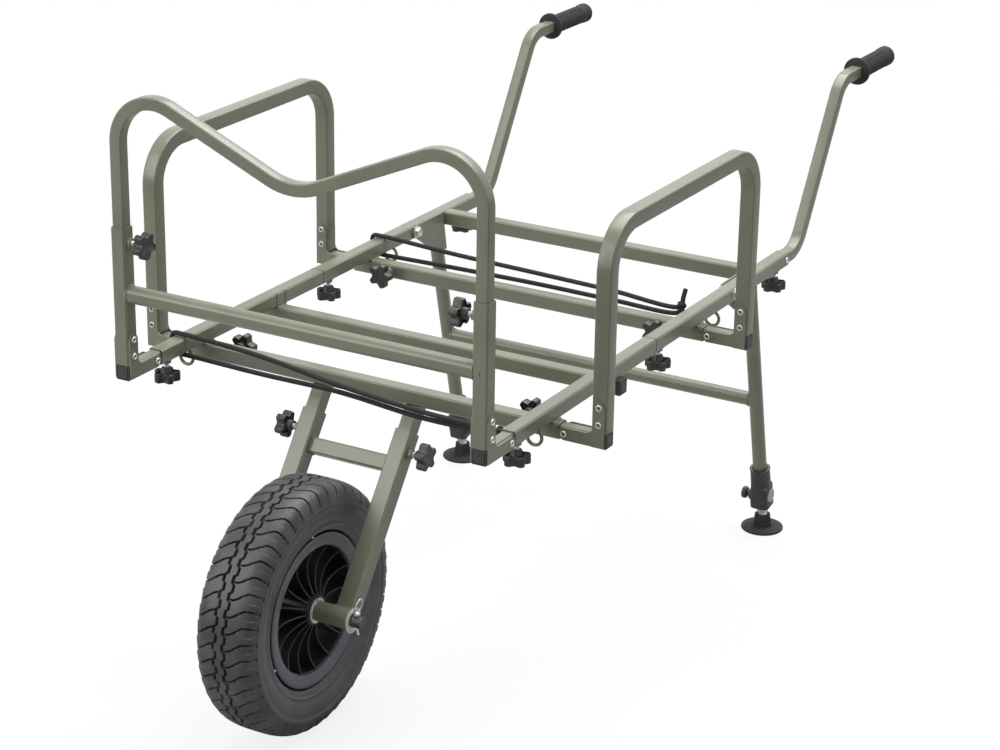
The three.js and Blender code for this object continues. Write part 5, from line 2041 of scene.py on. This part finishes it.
    def build_rings(self, side: Side) -> None:
        """The two wire rings under one rail.

        Args:
            side: Which side.
        """
        rings = Shell()
        r, x = self.ring_radius, side.value * LAYOUT.rail_x
        angles = [math.tau * step / self.curve_steps for step in range(self.curve_steps)]
        for place in self.ring_places:
            centre = LAYOUT.spot(x, place, LAYOUT.rail_bottom - r - self.ring_wire / 2)
            line = [centre + Vector((r * math.cos(angle), 0, r * math.sin(angle))) for angle in angles]
            rings.swept(line, self.ring_wire, self.ring_sides, closed=True)
        rings.piece(f"{side.word}_cord_rings", OLIVE, "frame", (), Crease.ROUND)

    def build_seam(self, side: Side) -> None:
        """The dark seam round one rail.

        Args:
            side: Which side.
        """
        outline = square_outline(LAYOUT.tube + 2 * self.seam_proud, LAYOUT.tube_corner)
        x, joint = side.value * LAYOUT.rail_x, LAYOUT.back(LAYOUT.rail_joint_place)
        Shell().loft([[Vector((x - across, y, LAYOUT.rail_height + up)) for across, up in outline]
                      for y in (joint - self.seam_half, joint + self.seam_half)]).piece(
            f"{side.word}_rail_seam", BLOCK, "frame")


@dataclass(frozen=True)
class Lamp:
    """A square soft lamp: its place, its width and its power in watts."""

    name: str
    place: tuple[float, float, float]
    size: float
    power: float

    def build(self, target: Vector) -> None:
        """Hangs the lamp and aims it at a point.

        Args:
            target: The point.
        """
        data = bpy.data.lights.new(self.name, "AREA")
        data.shape = "SQUARE"
        data.size = self.size
        data.energy = self.power
        lamp = bpy.data.objects.new(self.name, data)
        bpy.context.scene.collection.objects.link(lamp)
        lamp.location = self.place
        aim = target - Vector(self.place)
        lamp.rotation_mode = "QUATERNION"
        lamp.rotation_quaternion = aim.to_track_quat("-Z", "Y")


@dataclass
class Studio:
    """Floor, lamps, world and camera."""

    azimuth: float = 29.451
    elevation: float = 21.095
    roll: float = 0.930
    distance: float = 4.36754
    focal_pixels: float = 2579.06
    picture_width: int = 1000
    sensor: float = 36.0
    target: tuple[float, float, float] = (0.0, -0.042, 0.3652)
    shift_right: float = 0.00666
    shift_up: float = 0.00912
    clip_end: float = 100.0
    lamps: tuple[Lamp, ...] = (Lamp("key", (-2.0, -3.6, 2.6), 3.2, 98.0),
                               Lamp("top", (0.2, 1.2, 4.4), 4.2, 262.0))
    sky: float = 0.16
    white: Colour = (1.0, 1.0, 1.0, 1.0)
    floor_reach: float = 12.0
    floor_roughness: float = 0.9
    floor_grey: Colour = (0.5, 0.5, 0.5, 1.0)
    floor_white: Colour = (0.92, 0.92, 0.92, 1.0)
    glow_share: float = 0.84
    glow_near: float = 1.1
    glow_far: float = 2.6

    def build(self) -> None:
        """Sets up the whole studio."""
        scene = bpy.context.scene
        scene.view_settings.view_transform = "Standard"
        self.build_floor()
        self.build_world()
        for lamp in self.lamps:
            lamp.build(Vector(self.target))
        self.build_camera()

    def build_floor(self) -> None:
        """A plain white floor that keeps the shadow near the trolley and is white beyond."""
        mesh = bpy.data.meshes.new("floor")
        reach = self.floor_reach
        mesh.from_pydata([(-reach, -reach, 0), (reach, -reach, 0), (reach, reach, 0), (-reach, reach, 0)],
                         [], [(0, 1, 2, 3)])
        floor = bpy.data.objects.new("floor", mesh)
        bpy.context.scene.collection.objects.link(floor)
        graph = Graph("white_floor", {"Roughness": self.floor_roughness, "Specular IOR Level": 0.0})
        seen = graph.node("ShaderNodeLightPath", output="Is Camera Ray")
        graph.tint(seen, self.floor_grey, self.floor_white)
        glow = graph.node("ShaderNodeEmission", None, {"Color": self.white, "Strength": 1.0})
        away = graph.node("ShaderNodeVectorMath", {"operation": "LENGTH"}, {0: graph.place()}, "Value")
        share = self.glow_share + away.step(self.glow_near, self.glow_far) * (1 - self.glow_share)
        graph.finish(graph.node("ShaderNodeMixShader", None, {0: seen * share, 1: graph.coat, 2: glow}))
        mesh.materials.append(graph.material)

    def build_world(self) -> None:
        """Soft even light, white to the camera and in reflections."""
        world = bpy.data.worlds.new("studio")
        bpy.context.scene.world = world
        world.use_nodes = True
        tree = Tree(world.node_tree, "ShaderNodeOutputWorld")
        soft, plain = (tree.node("ShaderNodeBackground", None, {"Color": self.white, "Strength": strength})
                       for strength in (self.sky, 1.0))
        camera = tree.node("ShaderNodeLightPath", output="Is Camera Ray")
        through, mirrored = camera.twin("Is Transmission Ray"), camera.twin("Is Glossy Ray")
        shown = camera.maths("MAXIMUM", camera, through.maths("MAXIMUM", through, mirrored))
        tree.finish(tree.node("ShaderNodeMixShader", None, {0: shown, 1: soft, 2: plain}))

    def build_camera(self) -> None:
        """The camera at the photograph's angle."""
        a, e = math.radians(self.azimuth), math.radians(self.elevation)
        back = Vector((math.sin(a) * math.cos(e), -math.cos(a) * math.cos(e), math.sin(e)))
        right = Vector((math.cos(a), math.sin(a), 0))
        up = back.cross(right)
        target = Vector(self.target)
        place = target + back * self.distance + right * self.shift_right + up * self.shift_up
        turn = Matrix((right, up, back)).transposed() @ Matrix.Rotation(math.radians(self.roll), 3, "Z")
        data = bpy.data.cameras.new("camera")
        data.sensor_width = self.sensor
        data.lens = self.focal_pixels / self.picture_width * self.sensor
        data.clip_end = self.clip_end
        camera = bpy.data.objects.new("camera", data)
        bpy.context.scene.collection.objects.link(camera)
        camera.matrix_world = Matrix.Translation(place) @ turn.to_4x4()
        bpy.context.scene.camera = camera


def main() -> None:
    """Builds the looks in order."""
    logging.basicConfig(level=logging.INFO, format="%(message)s")
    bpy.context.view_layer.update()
    Studio().build()
    for part in (TubeFrame(), CornerBlocks(), BentTubes(), StarKnobs(), TyreAndRim(), AxleSet(), Grips(),
                 LegFeet(), Bungees(), Rivets(), PivotBolts(), SmallSteel()):
        part.build()


if __name__ == "__main__":
    main()
